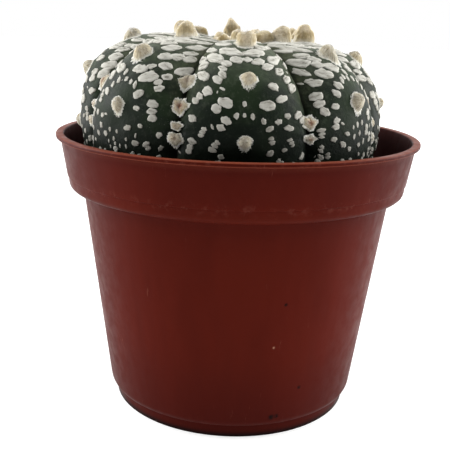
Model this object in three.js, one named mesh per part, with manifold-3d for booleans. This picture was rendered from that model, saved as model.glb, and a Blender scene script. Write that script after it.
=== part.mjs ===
// Potted star cactus: a low eight-ribbed globe cactus in a small round plastic nursery pot.
//
// Millimetres, +Z up. The origin is the centre of the pot's foot, on the surface that the pot
// stands on. -Y is the plant's front, which one broad rib faces.
//
// Pieces: the thin-walled pot, the soil in it, the stem with its woolly areoles and white flecks
// (one grown piece), and the wool at its growing point.

import * as THREE from 'three';
import { mergeVertices } from 'three/addons/utils/BufferGeometryUtils.js';
import Module from 'manifold-3d';

const wasm = await Module();
wasm.setup();

// ---------------------------------------------------------------------------------------------
// Driving dimensions
// ---------------------------------------------------------------------------------------------

const DEG = Math.PI / 180;
const GAP = 0.32; // clearance between pieces that touch

// Pot
const POT_HEIGHT = 49.2;
const WALL = 0.65;
const LIP_RADIUS = 32.5;
const LIP_THICKNESS = 0.6;
const LIP_ROUNDING = 0.2;
const COLLAR_TOP_RADIUS = 31.75;
const COLLAR_FOOT_RADIUS = 30.65;
const COLLAR_FOOT_Z = 41.8;
const COLLAR_STEP = 0.2; // the small ledge under the collar
const SHOULDER_Z = 39.4; // where the collar's rounded underside meets the body
const BODY_TOP_RADIUS = 27.9;
const BODY_FOOT_RADIUS = 22.95;
const BODY_FOOT_Z = 3.2;
const BODY_FOOT_CHAMFER = 0.6;
const FOOT_RADIUS = 21.8;
const FOOT_CHAMFER = 0.3;
const FOOT_RING_WIDTH = 1.2;
const FLOOR_Z = 2.2;
const FLOOR_THICKNESS = 0.8;
const FLOOR_FILLET = 0.8;
const DRAIN_COUNT = 6;
const DRAIN_RADIUS = 2.2;
const DRAIN_CIRCLE_RADIUS = 15.5;
const POT_SIDES = 60;
const SHOULDER_STEPS = 3;

// Stem: the crest line and the groove line of a rib are both superellipse quarters above the
// widest level, and the ribs run out below it towards the taproot.
const STEM_CENTRE = new THREE.Vector3(-1.42, -0.62, 52.06); // middle of the widest level
const STEM_LEAN_X = 0.034; // radians, towards +X
const STEM_LEAN_Y = -0.015; // radians, towards -Y
const STEM_RADIUS = 26.6;
const CROWN_HEIGHT = 14.4;
const CREST_POWER = { radius: 3.64, height: 2.4 };
const GROOVE_POWER = { radius: 2.38, height: 1.71 };
const GROOVE_DEPTH = 1.2; // at the widest level; the two lines above it part further
const CREASE_DEPTH = 0.45; // the sharp crease at the bottom of a groove
const CREASE_START = 0.86; // as a share of a rib's half width
const APEX_DIP = 2.6;
const APEX_DIP_RADIUS = 7.2;
const UNDERBODY_DEPTH = 20;
const UNDERBODY_POWER = 2.2;
const GROOVE_END_DEPTH = 16; // where the grooves have run out
const TAPROOT_RADIUS = 6.5;
const TAPROOT_DEPTH = 33;
// Ribs, counted from the one that faces -Y towards +X: the width in degrees, the first areole on
// its crest in millimetres from the growing point, and the small tufts in the groove on its -X side.
const RIB_LIST = [
  { width: 47, firstAreole: 6.9, grooveTufts: 4 },
  { width: 43, firstAreole: 10.2, grooveTufts: 2 },
  { width: 42, firstAreole: 2.9, grooveTufts: 3 },
  { width: 47, firstAreole: 6.3, grooveTufts: 2 },
  { width: 47, firstAreole: 9.8, grooveTufts: 3 },
  { width: 45, firstAreole: 3.9, grooveTufts: 2 },
  { width: 43, firstAreole: 8.8, grooveTufts: 4 },
  { width: 46, firstAreole: 3.4, grooveTufts: 3 },
];
const FIRST_GROOVE = -18; // degrees from -Y, the groove on the -X side of the first rib
// Where the stem's mesh has points: across a rib, and from the growing point down.
const ACROSS_STEPS = [-1, -CREASE_START, -0.45, 0, 0.45, CREASE_START];
const UPPER_LEVELS = [0.01, 0.05, 0.13, 0.25, 0.39, 0.53, 0.67, 0.79, 0.9, 1];
const LOWER_DEPTHS = [4, 8, 12, 15.5, 18, 19.7, 25, 31];

// Areoles, along each rib's crest
const AREOLE_SPACING = 9.4;
const CROWN_LENGTH = 8; // areoles nearer to the growing point than this are in the crown wool
const AREOLE_END = 37.5; // the lowest level that still bears a tuft
const AREOLE_SIZE = 1.35; // radius of a tuft
const YOUNG_LENGTH = 17; // tufts and flecks nearer to the growing point are larger
const YOUNG_SCALE = 1.25;
const GROOVE_TUFT_SIZE = 0.85;
const GROOVE_TUFT_SPACING = 3.1;
const GROOVE_TUFT_END = 33;

// Flecks: rings round each areole, out to the territory of the next one
const FLECK_RINGS = [3.8, 6.7];
const FLECK_PITCH = 4.6; // along a ring
const FLECK_RADIUS = 1;
const FLECK_HEIGHT = 0.3;
const FLECK_GAP = 0.6; // the least skin between two flecks
const FLECK_ACROSS = 0.88; // flecks stay this far out of the grooves
const FLECK_LOWEST = -8.5; // below the widest level
const ROOT_DEPTH = 0.5; // how far tufts and flecks are sunk into the stem

// Wool at the growing point
const CROWN_PAD_RADIUS = 6.2;
const CROWN_PAD_LIFT = 0.6; // of the pad's middle, above the bottom of the dip
const CROWN_PAD_FLATNESS = 0.3;
const CROWN_TUFT_RADIUS = 2.1;

// Soil
const SOIL_Z = 39.3; // its level at the pot wall
const SOIL_MOUND = 0.7; // how much higher it lies at the stem
const SOIL_RELIEF = 0.28;
const SOIL_SIDES = 48;
const GRAIN_COUNT = 36;
const GRAIN_RADIUS = 0.95;

const SEED = 20;

// ---------------------------------------------------------------------------------------------
// Tools
// ---------------------------------------------------------------------------------------------

// A repeatable random source (mulberry32): random() gives 0..1.
function randomSource(seed) {
  let state = seed >>> 0;
  return () => {
    state = (state + 0x6d2b79f5) >>> 0;
    let t = state;
    t = Math.imul(t ^ (t >>> 15), t | 1);
    t ^= t + Math.imul(t ^ (t >>> 7), t | 61);
    return ((t ^ (t >>> 14)) >>> 0) / 4294967296;
  };
}

const between = (random, low, high) => low + (high - low) * random();

// A closed BufferGeometry as a manifold solid.
function solidFrom(geometry) {
  const bare = geometry.clone();
  bare.deleteAttribute('normal');
  bare.deleteAttribute('uv');
  const merged = mergeVertices(bare, 1e-4);
  return new wasm.Manifold(
    new wasm.Mesh({
      numProp: 3,
      vertProperties: new Float32Array(merged.attributes.position.array),
      triVerts: new Uint32Array(merged.index.array),
    }),
  );
}

// A manifold solid as a BufferGeometry.
function geometryFrom(solid) {
  const mesh = solid.getMesh();
  const geometry = new THREE.BufferGeometry();
  geometry.setAttribute('position', new THREE.BufferAttribute(mesh.vertProperties, 3));
  geometry.setIndex(new THREE.BufferAttribute(mesh.triVerts, 1));
  geometry.computeVertexNormals();
  return geometry;
}

// A closed surface from rows of points: each row is a ring, and a pole closes either end.
function ringSurface(topPole, rings, bottomPole) {
  const count = rings[0].length;
  const positions = [...topPole];
  for (const ring of rings) for (const point of ring) positions.push(...point);
  positions.push(...bottomPole);
  const last = positions.length / 3 - 1;
  const at = (row, column) => 1 + row * count + (column % count);
  const index = [];
  for (let column = 0; column < count; column++) {
    index.push(0, at(0, column), at(0, column + 1));
    for (let row = 0; row + 1 < rings.length; row++) {
      const [a, b] = [at(row, column), at(row, column + 1)];
      const [c, d] = [at(row + 1, column), at(row + 1, column + 1)];
      index.push(a, c, b, b, c, d);
    }
    index.push(at(rings.length - 1, column), last, at(rings.length - 1, column + 1));
  }
  const geometry = new THREE.BufferGeometry();
  geometry.setAttribute('position', new THREE.Float32BufferAttribute(positions, 3));
  geometry.setIndex(index);
  return geometry;
}

// A solid of revolution about Z from [radius, z] points that run anticlockwise round its section.
function turned(profile, sides) {
  const points = profile.map(([radius, z]) => new THREE.Vector2(radius, z));
  const geometry = new THREE.LatheGeometry(points, sides);
  geometry.rotateX(Math.PI / 2);
  return solidFrom(geometry);
}

// ---------------------------------------------------------------------------------------------
// Pot
// ---------------------------------------------------------------------------------------------

// Points of the rounded underside of the collar: a quarter of an ellipse from its upper outer end
// to its lower inner end.
function shoulderCurve(outerRadius, topZ, innerRadius, bottomZ) {
  return Array.from({ length: SHOULDER_STEPS + 1 }, (_, i) => {
    const angle = (i / SHOULDER_STEPS) * 90 * DEG;
    const radius = innerRadius + (outerRadius - innerRadius) * Math.cos(angle);
    return [radius, topZ - (topZ - bottomZ) * Math.sin(angle)];
  });
}

// Inner radius of the pot's body wall at a height.
function wallInnerRadius(z) {
  const t = (z - BODY_FOOT_Z) / (SHOULDER_Z - BODY_FOOT_Z);
  return BODY_FOOT_RADIUS + (BODY_TOP_RADIUS - BODY_FOOT_RADIUS) * t - WALL;
}

function makePot() {
  const lipUnder = POT_HEIGHT - LIP_THICKNESS;
  const lipInner = COLLAR_TOP_RADIUS - WALL;
  const floorTop = FLOOR_Z + FLOOR_THICKNESS;
  const footInner = FOOT_RADIUS - FOOT_RING_WIDTH;
  const shoulderOuter = COLLAR_FOOT_RADIUS - COLLAR_STEP;
  const outerShoulder = shoulderCurve(shoulderOuter, COLLAR_FOOT_Z, BODY_TOP_RADIUS, SHOULDER_Z);
  const innerShoulder = shoulderCurve(
    shoulderOuter - WALL, COLLAR_FOOT_Z + WALL / 2, BODY_TOP_RADIUS - WALL, SHOULDER_Z + WALL,
  );
  const outer = [
    [footInner, 0],
    [FOOT_RADIUS - FOOT_CHAMFER, 0],
    [FOOT_RADIUS, FOOT_CHAMFER],
    [FOOT_RADIUS, BODY_FOOT_Z - BODY_FOOT_CHAMFER],
    [BODY_FOOT_RADIUS - BODY_FOOT_CHAMFER / 2, BODY_FOOT_Z - BODY_FOOT_CHAMFER],
    [BODY_FOOT_RADIUS, BODY_FOOT_Z],
    ...outerShoulder.reverse(),
    [COLLAR_FOOT_RADIUS, COLLAR_FOOT_Z],
    [COLLAR_TOP_RADIUS, lipUnder],
    [LIP_RADIUS, lipUnder],
    [LIP_RADIUS, POT_HEIGHT - LIP_ROUNDING],
    [LIP_RADIUS - LIP_ROUNDING, POT_HEIGHT],
    [lipInner + LIP_ROUNDING, POT_HEIGHT],
    [lipInner, POT_HEIGHT - LIP_ROUNDING],
  ];
  const inner = [
    ...innerShoulder,
    [BODY_FOOT_RADIUS - WALL, floorTop + FLOOR_FILLET],
    [BODY_FOOT_RADIUS - WALL - FLOOR_FILLET, floorTop],
    [0, floorTop],
    [0, FLOOR_Z],
    [footInner, FLOOR_Z],
    [footInner, 0],
  ];
  let pot = turned([...outer, ...inner], POT_SIDES);
  for (let i = 0; i < DRAIN_COUNT; i++) {
    const angle = ((i + 0.5) / DRAIN_COUNT) * 360 * DEG;
    const drill = new THREE.CylinderGeometry(DRAIN_RADIUS, DRAIN_RADIUS, 4 * FLOOR_THICKNESS, 14);
    drill.rotateX(Math.PI / 2);
    drill.translate(DRAIN_CIRCLE_RADIUS * Math.cos(angle), DRAIN_CIRCLE_RADIUS * Math.sin(angle), FLOOR_Z);
    pot = pot.subtract(solidFrom(drill));
  }
  return pot;
}

// ---------------------------------------------------------------------------------------------
// Stem surface. Its own frame has the widest level at z = 0 and its axis along Z.
// ---------------------------------------------------------------------------------------------

// Places a stem-frame solid in the part's frame: it leans a little and stands off centre.
function placeStem(solid) {
  const matrix = new THREE.Matrix4().makeRotationY(STEM_LEAN_X);
  matrix.premultiply(new THREE.Matrix4().makeRotationX(-STEM_LEAN_Y));
  matrix.setPosition(STEM_CENTRE);
  return solid.transform(matrix.elements);
}

// Ribs as { middle, half } angles in radians from -Y towards +X.
function listRibs() {
  const ribs = [];
  let groove = FIRST_GROOVE;
  for (const { width, firstAreole, grooveTufts } of RIB_LIST) {
    ribs.push({ middle: (groove + width / 2) * DEG, half: (width / 2) * DEG, firstAreole, grooveTufts });
    groove += width;
  }
  return ribs;
}

const RIBS = listRibs();

// A line from the growing point (level 0) to the widest level (level 1), as [radius, z].
function upperLine(level, radius, power) {
  const angle = level * 90 * DEG;
  const r = radius * Math.sin(angle) ** (2 / power.radius);
  const dip = APEX_DIP * Math.exp(-((r / APEX_DIP_RADIUS) ** 2));
  return [r, CROWN_HEIGHT * Math.max(Math.cos(angle), 0) ** (2 / power.height) - dip];
}

// Radius of the round underbody and taproot at a depth below the widest level.
function underRadius(depth) {
  const bodyShare = 1 - Math.min(depth / UNDERBODY_DEPTH, 1) ** UNDERBODY_POWER;
  const body = STEM_RADIUS * bodyShare ** (1 / UNDERBODY_POWER);
  const root = TAPROOT_RADIUS * (1 - depth / TAPROOT_DEPTH) ** 0.8;
  return Math.max(body, root);
}

// A point of the stem's skin. rib: one of RIBS; across: 0 on its crest, -1 and 1 in its grooves;
// level: 0..1 from the growing point to the widest level, and 1 + depth in millimetres below it.
function stemPoint(rib, across, level) {
  const share = across ** 2;
  const crease = CREASE_DEPTH * Math.max(0, (Math.abs(across) - CREASE_START) / (1 - CREASE_START));
  let radius;
  let z;
  if (level <= 1) {
    const crest = upperLine(level, STEM_RADIUS, CREST_POWER);
    const groove = upperLine(level, STEM_RADIUS - GROOVE_DEPTH, GROOVE_POWER);
    radius = crest[0] * (1 - share) + groove[0] * share - crease * Math.min(1, level * 2);
    z = crest[1] * (1 - share) + groove[1] * share;
  } else {
    const depth = level - 1;
    const fade = Math.max(0, 1 - depth / GROOVE_END_DEPTH);
    radius = underRadius(depth) - (GROOVE_DEPTH * share + crease) * fade;
    z = -depth;
  }
  const angle = rib.middle + rib.half * across;
  return [radius * Math.sin(angle), -radius * Math.cos(angle), z];
}

function stemBody() {
  const levels = [...UPPER_LEVELS, ...LOWER_DEPTHS.map((depth) => 1 + depth)];
  const rings = levels.map((level) =>
    RIBS.flatMap((rib) => ACROSS_STEPS.map((across) => stemPoint(rib, across, level))),
  );
  return solidFrom(ringSurface([0, 0, CROWN_HEIGHT - APEX_DIP], rings, [0, 0, -TAPROOT_DEPTH]));
}

// A crest's arc length from the growing point, as a table of [length, level] to look levels up in.
function crestTable() {
  const table = [[0, 0]];
  let length = 0;
  let previous = [0, CROWN_HEIGHT - APEX_DIP];
  const steps = 200;
  for (let i = 1; i <= steps; i++) {
    const point = upperLine(i / steps, STEM_RADIUS, CREST_POWER);
    length += Math.hypot(point[0] - previous[0], point[1] - previous[1]);
    table.push([length, i / steps]);
    previous = point;
  }
  return table;
}

const CREST_TABLE = crestTable();
const CREST_LENGTH = CREST_TABLE[CREST_TABLE.length - 1][0];

// The level that lies an arc length from the growing point.
function levelAt(length) {
  if (length >= CREST_LENGTH) return 1 + (length - CREST_LENGTH);
  const next = Math.max(1, CREST_TABLE.findIndex(([l]) => l >= length));
  const [l0, v0] = CREST_TABLE[next - 1];
  const [l1, v1] = CREST_TABLE[next];
  return v0 + ((v1 - v0) * (length - l0)) / (l1 - l0);
}

// Position and outward, sideways and downward directions at a place on the skin, at an arc length
// from the growing point. Across -1..1 runs over the rib, and a groove's own frame looks straight out.
function skinFrame(rib, across, length) {
  const point = (a, l) => new THREE.Vector3(...stemPoint(rib, a, levelAt(l)));
  const step = 0.4;
  const here = point(across, length);
  const down = point(across, length + step).sub(point(across, length - step)).normalize();
  const angle = rib.middle + rib.half * across;
  const inGroove = Math.abs(across) > 0.95;
  const side = inGroove
    ? new THREE.Vector3(Math.cos(angle), Math.sin(angle), 0)
    : point(across + 0.04, length).sub(point(across - 0.04, length)).normalize();
  const out = new THREE.Vector3().crossVectors(down, side).normalize();
  side.crossVectors(out, down).normalize();
  return { here, out, side, down };
}

// Areoles of one rib as arc lengths, nearest to the growing point first.
function areoleLengths(rib) {
  const lengths = [];
  for (let length = rib.firstAreole; length < AREOLE_END; length += AREOLE_SPACING) lengths.push(length);
  return lengths;
}

// ---------------------------------------------------------------------------------------------
// What grows on the stem
// ---------------------------------------------------------------------------------------------

// A lump on the skin, closed from rings of points. outline(angle) gives its radius towards an angle
// that is measured from downwards; each of rings is [scale of the outline, height above the skin].
function skinLump(frame, sides, outline, rings, top) {
  const place = (angle, radius, lift) => {
    const point = frame.here.clone();
    point.addScaledVector(frame.down, radius * Math.cos(angle));
    point.addScaledVector(frame.side, radius * Math.sin(angle));
    return point.addScaledVector(frame.out, lift).toArray();
  };
  const rows = rings.map(([scale, lift]) =>
    Array.from({ length: sides }, (_, i) => {
      const angle = (i / sides) * 360 * DEG;
      return place(angle, outline(angle) * scale, lift);
    }),
  );
  const lowest = rings[rings.length - 1][1];
  return solidFrom(ringSurface(place(0, 0, top), rows, place(0, 0, lowest)));
}

// A tuft of wool on an areole, drawn out to a point towards the base of the plant.
function woolTuft(frame, size, random) {
  const turn = between(random, -0.3, 0.3);
  const outline = (angle) => size * (0.95 + 0.4 * Math.max(0, Math.cos(angle - turn)) ** 4);
  return skinLump(frame, 6, outline, [[1, size * 0.75], [0.8, -2 * ROOT_DEPTH]], size * 1.25);
}

// A fleck: a thin, flat, uneven pad of pressed white hairs.
function fleckPad(frame, radius, random) {
  const turn = between(random, 0, 2 * Math.PI);
  const stretch = between(random, 0.8, 1.3);
  const outline = (angle) => radius * (1 / stretch + (stretch - 1 / stretch) * Math.cos(angle - turn) ** 2);
  return skinLump(frame, 5, outline, [[0.9, FLECK_HEIGHT], [1.05, -ROOT_DEPTH]], FLECK_HEIGHT);
}

// Fleck places of one rib: rings round every areole, kept where no other areole is nearer, inside
// the rib, clear of the crown wool and above the soil.
function fleckPlaces(rib, random) {
  const areoles = areoleLengths(rib);
  const places = [];
  for (const areole of areoles) {
    for (const ring of FLECK_RINGS) {
      const count = Math.round((2 * Math.PI * ring) / FLECK_PITCH);
      const start = between(random, 0, 2 * Math.PI);
      for (let i = 0; i < count; i++) {
        const angle = start + ((i + between(random, -0.2, 0.2)) / count) * 2 * Math.PI;
        const distance = ring + between(random, -0.3, 0.3);
        const sideways = distance * Math.sin(angle);
        const length = areole - distance * Math.cos(angle);
        const radius = FLECK_RADIUS * between(random, 0.75, 1.2) * (length < YOUNG_LENGTH ? YOUNG_SCALE : 1);
        const crestRadius = Math.hypot(...stemPoint(rib, 0, levelAt(Math.max(length, 1))).slice(0, 2));
        const across = sideways / (crestRadius * rib.half);
        const nearest = Math.min(...areoles.map((other) => Math.hypot(length - other, sideways)));
        const outside = Math.abs(across) > FLECK_ACROSS || length < CROWN_LENGTH + 3;
        if (outside || nearest < distance - 0.4) continue;
        const frame = skinFrame(rib, across, length);
        const crowded = places.some(
          (other) => other.frame.here.distanceTo(frame.here) < other.radius + radius + FLECK_GAP,
        );
        if (!crowded && frame.here.z > FLECK_LOWEST) places.push({ frame, radius });
      }
    }
  }
  return places;
}

function makeStem() {
  const random = randomSource(SEED);
  const grown = [stemBody()];
  for (const rib of RIBS) {
    for (const length of areoleLengths(rib)) {
      if (length < CROWN_LENGTH) continue;
      const size = AREOLE_SIZE * between(random, 0.9, 1.15) * (length < YOUNG_LENGTH ? YOUNG_SCALE : 1);
      grown.push(woolTuft(skinFrame(rib, 0, length), size, random));
    }
    for (const { frame, radius } of fleckPlaces(rib, random)) grown.push(fleckPad(frame, radius, random));
    for (let i = 0; i < rib.grooveTufts; i++) {
      const length = GROOVE_TUFT_END - i * GROOVE_TUFT_SPACING + between(random, -0.6, 0.6);
      grown.push(woolTuft(skinFrame(rib, -1, length), GROOVE_TUFT_SIZE * between(random, 0.85, 1.2), random));
    }
  }
  return wasm.Manifold.union(grown);
}

// The wool at the growing point: the youngest areoles' tufts, grown together on a woolly pad.
function makeCrownWool() {
  const random = randomSource(SEED + 1);
  const floor = CROWN_HEIGHT - APEX_DIP;
  const lump = (x, y, z, radius, flatness) => {
    const ball = new THREE.IcosahedronGeometry(radius, 1);
    ball.scale(1, 1, flatness);
    ball.translate(x, y, z);
    return solidFrom(ball);
  };
  const lumps = [lump(0, 0, floor + CROWN_PAD_LIFT, CROWN_PAD_RADIUS, CROWN_PAD_FLATNESS)];
  for (const rib of RIBS) {
    if (rib.firstAreole > CROWN_LENGTH) continue;
    const radius = CROWN_TUFT_RADIUS * between(random, 0.9, 1.1);
    const [reach, z] = upperLine(levelAt(rib.firstAreole), STEM_RADIUS, CREST_POWER);
    lumps.push(lump(reach * Math.sin(rib.middle), -reach * Math.cos(rib.middle), z + radius / 2, radius, 1));
  }
  const ground = stemBody().translate([0, 0, GAP]);
  return wasm.Manifold.union(lumps).subtract(ground);
}

// ---------------------------------------------------------------------------------------------
// Soil
// ---------------------------------------------------------------------------------------------

function makeSoil() {
  const random = randomSource(SEED + 2);
  const bottom = FLOOR_Z + FLOOR_THICKNESS + GAP;
  const wallRadius = wallInnerRadius(SOIL_Z) - GAP;
  const around = (radius, height) =>
    Array.from({ length: SOIL_SIDES }, (_, i) => {
      const angle = (i / SOIL_SIDES) * 360 * DEG;
      return [radius * Math.cos(angle), radius * Math.sin(angle), height()];
    });
  const uneven = (z) => () => z + between(random, -SOIL_RELIEF, SOIL_RELIEF);
  // The surface falls from the stem to the wall.
  const rings = [
    around(wallRadius * 0.7, uneven(SOIL_Z + SOIL_MOUND)),
    around(wallRadius * 0.88, uneven(SOIL_Z + SOIL_MOUND)),
    around(wallRadius, uneven(SOIL_Z)),
    around(wallInnerRadius(bottom + 1.2) - GAP, () => bottom + 1.2),
    around(BODY_FOOT_RADIUS - WALL - 1.3, () => bottom),
  ];
  const parts = [solidFrom(ringSurface([0, 0, SOIL_Z], rings, [0, 0, bottom]))];
  for (let i = 0; i < GRAIN_COUNT; i++) {
    const angle = ((i + between(random, -0.4, 0.4)) / GRAIN_COUNT) * 360 * DEG;
    const radius = wallRadius * between(random, 0.87, 0.95);
    const grain = new THREE.OctahedronGeometry(GRAIN_RADIUS * between(random, 0.75, 1.25), 0);
    grain.scale(1, between(random, 0.7, 1), between(random, 0.6, 0.9));
    grain.rotateZ(between(random, 0, Math.PI));
    grain.translate(radius * Math.cos(angle), radius * Math.sin(angle), SOIL_Z + 0.4);
    parts.push(solidFrom(grain));
  }
  const depths = [...LOWER_DEPTHS].reverse();
  const hole = turned(
    [
      [0, -TAPROOT_DEPTH - 2 * GAP],
      ...depths.map((depth) => [underRadius(depth) + GAP, -depth - GAP]),
      [underRadius(0) + GAP, 0],
      [0, 0],
    ],
    SOIL_SIDES,
  );
  return wasm.Manifold.union(parts).subtract(placeStem(hole));
}

// ---------------------------------------------------------------------------------------------
// Assembly
// ---------------------------------------------------------------------------------------------

function piece(name, solid, colour, roughness) {
  const material = new THREE.MeshStandardMaterial({ color: colour, roughness, metalness: 0 });
  const mesh = new THREE.Mesh(geometryFrom(solid), material);
  mesh.name = name;
  return mesh;
}

const pottedCactus = new THREE.Group();
pottedCactus.add(
  piece('pot', makePot(), 0x7a3023, 0.45),
  piece('soil', makeSoil(), 0x2e241b, 0.95),
  piece('stem', placeStem(makeStem()), 0x2c4530, 0.6),
  piece('crown_wool', placeStem(makeCrownWool()), 0xcfc09a, 0.95),
);

export default pottedCactus;
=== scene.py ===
"""Potted star cactus, finished: a ribbed globe cactus with white flecks in a small nursery pot.

Everything is in metres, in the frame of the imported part: the origin is the centre of the pot's
foot, +Z is up and -Y is the plant's front. Sizes are written in millimetres and turned into metres
when a mesh is made. On the stem, a length runs along a rib from the growing point, and a sideways
distance is measured from the rib's crest.
"""

import logging
from dataclasses import astuple, dataclass, field, replace
from enum import Enum

import bmesh
import bpy
import numpy as np
from bpy.types import ID, Material, Node, NodeSocket, NodeTree, Object, World
from mathutils import Matrix, Vector


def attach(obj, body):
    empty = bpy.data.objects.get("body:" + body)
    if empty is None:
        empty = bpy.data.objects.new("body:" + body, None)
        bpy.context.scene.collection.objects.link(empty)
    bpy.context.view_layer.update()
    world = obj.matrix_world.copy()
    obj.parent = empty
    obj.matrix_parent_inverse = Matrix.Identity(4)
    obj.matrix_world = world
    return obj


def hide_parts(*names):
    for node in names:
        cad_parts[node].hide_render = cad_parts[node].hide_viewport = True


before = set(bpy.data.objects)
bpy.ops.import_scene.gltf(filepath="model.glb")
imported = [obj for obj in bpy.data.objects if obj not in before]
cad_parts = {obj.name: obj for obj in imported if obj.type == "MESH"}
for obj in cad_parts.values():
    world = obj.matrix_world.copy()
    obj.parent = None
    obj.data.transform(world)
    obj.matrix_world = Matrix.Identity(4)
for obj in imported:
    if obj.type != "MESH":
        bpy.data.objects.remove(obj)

MM = 0.001
BODY = "root"
FULL_TURN = 2 * np.pi
WHITE = (1, 1, 1, 1)
LOG = logging.getLogger("cactus")

Array = np.ndarray
Random = np.random.Generator
Colour = tuple[float, float, float]


class Slot(Enum):
    """The material slots that the pieces belong to."""

    POT = "pot_plastic"
    SOIL = "potting_soil"
    STEM = "stem_skin"
    WOOL = "wool"


class TuftKind(Enum):
    """Where a woolly tuft grows, which sets its size, its colour and its shape."""

    CROWN = "crown"
    FLANK = "flank"
    GROOVE = "groove"


# --- Numbers and places --------------------


def turns(count: int) -> Array:
    """Angles that divide a full turn into equal steps."""
    return np.arange(count) / count * 2 * np.pi


def ramp(x: Array, start: float, run: float) -> Array:
    """0 up to the start, 1 from a run beyond it, and even in between."""
    return np.clip((x - start) / run, 0, 1)


def bell(x: Array, width: float) -> Array:
    """1 at zero, falling as e to the minus square of x over the width."""
    return np.exp(-((x / width) ** 2))


def stacked(*parts: Array | float) -> Array:
    """Coordinates, brought to one shape, side by side in an array's last axis."""
    return np.stack(np.broadcast_arrays(*parts), axis=-1)


def around_z(r: Array | float, angle: Array | float, *z: Array | float) -> Array:
    """Points at a radius and an angle from +X towards +Y, and at a height where one is given."""
    return stacked(r * np.cos(angle), r * np.sin(angle), *z)


def from_front(r: Array | float, angle: Array | float, z: Array | float) -> Array:
    """Points at a radius, an angle from -Y towards +X, and a height."""
    return stacked(r * np.sin(angle), -r * np.cos(angle), z)


def unit(vectors: Array) -> Array:
    """Vectors of length one."""
    return vectors / np.maximum(np.linalg.norm(vectors, axis=-1, keepdims=True), 1e-12)


def ripple(points: Array, size: float, seed: int, waves: int = 16) -> Array:
    """Smooth unevenness: the sum of sine waves in random directions, all of about one length.

    Args:
        points: Where it is read, (..., 3) in millimetres.
        size: The waves' mean length.
        seed: Seed of their directions.
        waves: How many there are.

    Returns:
        Numbers that spread about 0 with a deviation of one half.
    """
    random = np.random.default_rng(seed)
    headings = unit(random.normal(size=(waves, 3)))
    pace = headings * (FULL_TURN / (size * random.uniform(0.7, 1.4, (waves, 1))))
    phase = random.uniform(0, FULL_TURN, waves)
    return np.sin(points @ pace.T + phase).sum(axis=-1) / np.sqrt(2 * waves)


# --- Meshes from arrays --------------------


@dataclass
class Surface:
    """Points in millimetres with the faces between them.

    Attributes:
        points: Array (n, 3).
        faces: Arrays of vertex numbers, one array for each number of corners.
        values: Named numbers, one for each point, that materials read.
        flat: A second pair of coordinates for each point, kept as the UV map.
    """

    points: Array
    faces: list[Array]
    values: dict[str, Array] = field(default_factory=dict)
    flat: Array | None = None


def strip_faces(rows: int, columns: int) -> Array:
    """Four-cornered faces of a grid of closed rings, with its points numbered ring by ring.

    Args:
        rows: Number of rings.
        columns: Number of points in a ring.

    Returns:
        Array (faces, 4) of vertex numbers.
    """
    row, column = np.meshgrid(np.arange(rows - 1), np.arange(columns), indexing="ij")
    after = (column + 1) % columns
    here, below = row * columns, (row + 1) * columns
    return np.stack([here + column, here + after, below + after, below + column], axis=-1).reshape(-1, 4)


def cap_faces(ring: Array, pole: Array | int) -> Array:
    """Triangles that join closed rings of points, one in each row, to their poles."""
    return np.stack([ring, np.roll(ring, -1, axis=-1), pole + 0 * ring], axis=-1).reshape(-1, 3)


def copied(faces: Array, count: int, size: int) -> Array:
    """The faces of one thing again for each of a number of things of the same size in points."""
    return (faces + np.arange(count)[:, None, None] * size).reshape(-1, faces.shape[-1])


def grids(n: int, rows: int, columns: int) -> tuple[Array, Array, Array, Array]:
    """Faces of a number of grids of closed rings, each with a point of its own after them all.

    Args:
        n: How many grids there are.
        rows: Rings of each.
        columns: Points in a ring.

    Returns:
        The faces, and the numbers of the points in the first rings, in the last rings, and after.
    """
    size = rows * columns
    first = np.arange(n)[:, None] * size + np.arange(columns)
    strips = copied(strip_faces(rows, columns), n, size)
    return strips, first, first + size - columns, n * size + np.arange(n)[:, None]


def closed_grid(grid: Array, poles: list[list[float]]) -> tuple[Array, list[Array]]:
    """Shuts a grid of closed rings with a pole inside its first ring and one inside its last.

    Args:
        grid: The rings' points, (rings, points, 3).
        poles: The two poles.

    Returns:
        All the points, and the faces between them.
    """
    rows, columns = grid.shape[:2]
    count = rows * columns
    first, last = np.arange(columns), np.arange(count - columns, count)
    faces = [strip_faces(rows, columns), cap_faces(first, count), cap_faces(last, count + 1)]
    return np.concatenate([grid.reshape(-1, 3), poles]), faces


def joined(surfaces: list[Surface]) -> Surface:
    """Puts several surfaces into one, with their values and UV pairs.

    Args:
        surfaces: The surfaces, which all have the same named values.

    Returns:
        The joined surface.
    """
    offsets = np.cumsum([0] + [len(s.points) for s in surfaces[:-1]])
    faces = [f + offset for s, offset in zip(surfaces, offsets) for f in s.faces]
    values = {name: np.concatenate([s.values[name] for s in surfaces]) for name in surfaces[0].values}
    flat = None if surfaces[0].flat is None else np.concatenate([s.flat for s in surfaces])
    return Surface(np.concatenate([s.points for s in surfaces]), faces, values, flat)


def new_object(name: str, data: ID) -> Object:
    """Makes an object at the origin and puts it in the scene."""
    made = bpy.data.objects.new(name, data)
    bpy.context.scene.collection.objects.link(made)
    return made


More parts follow.
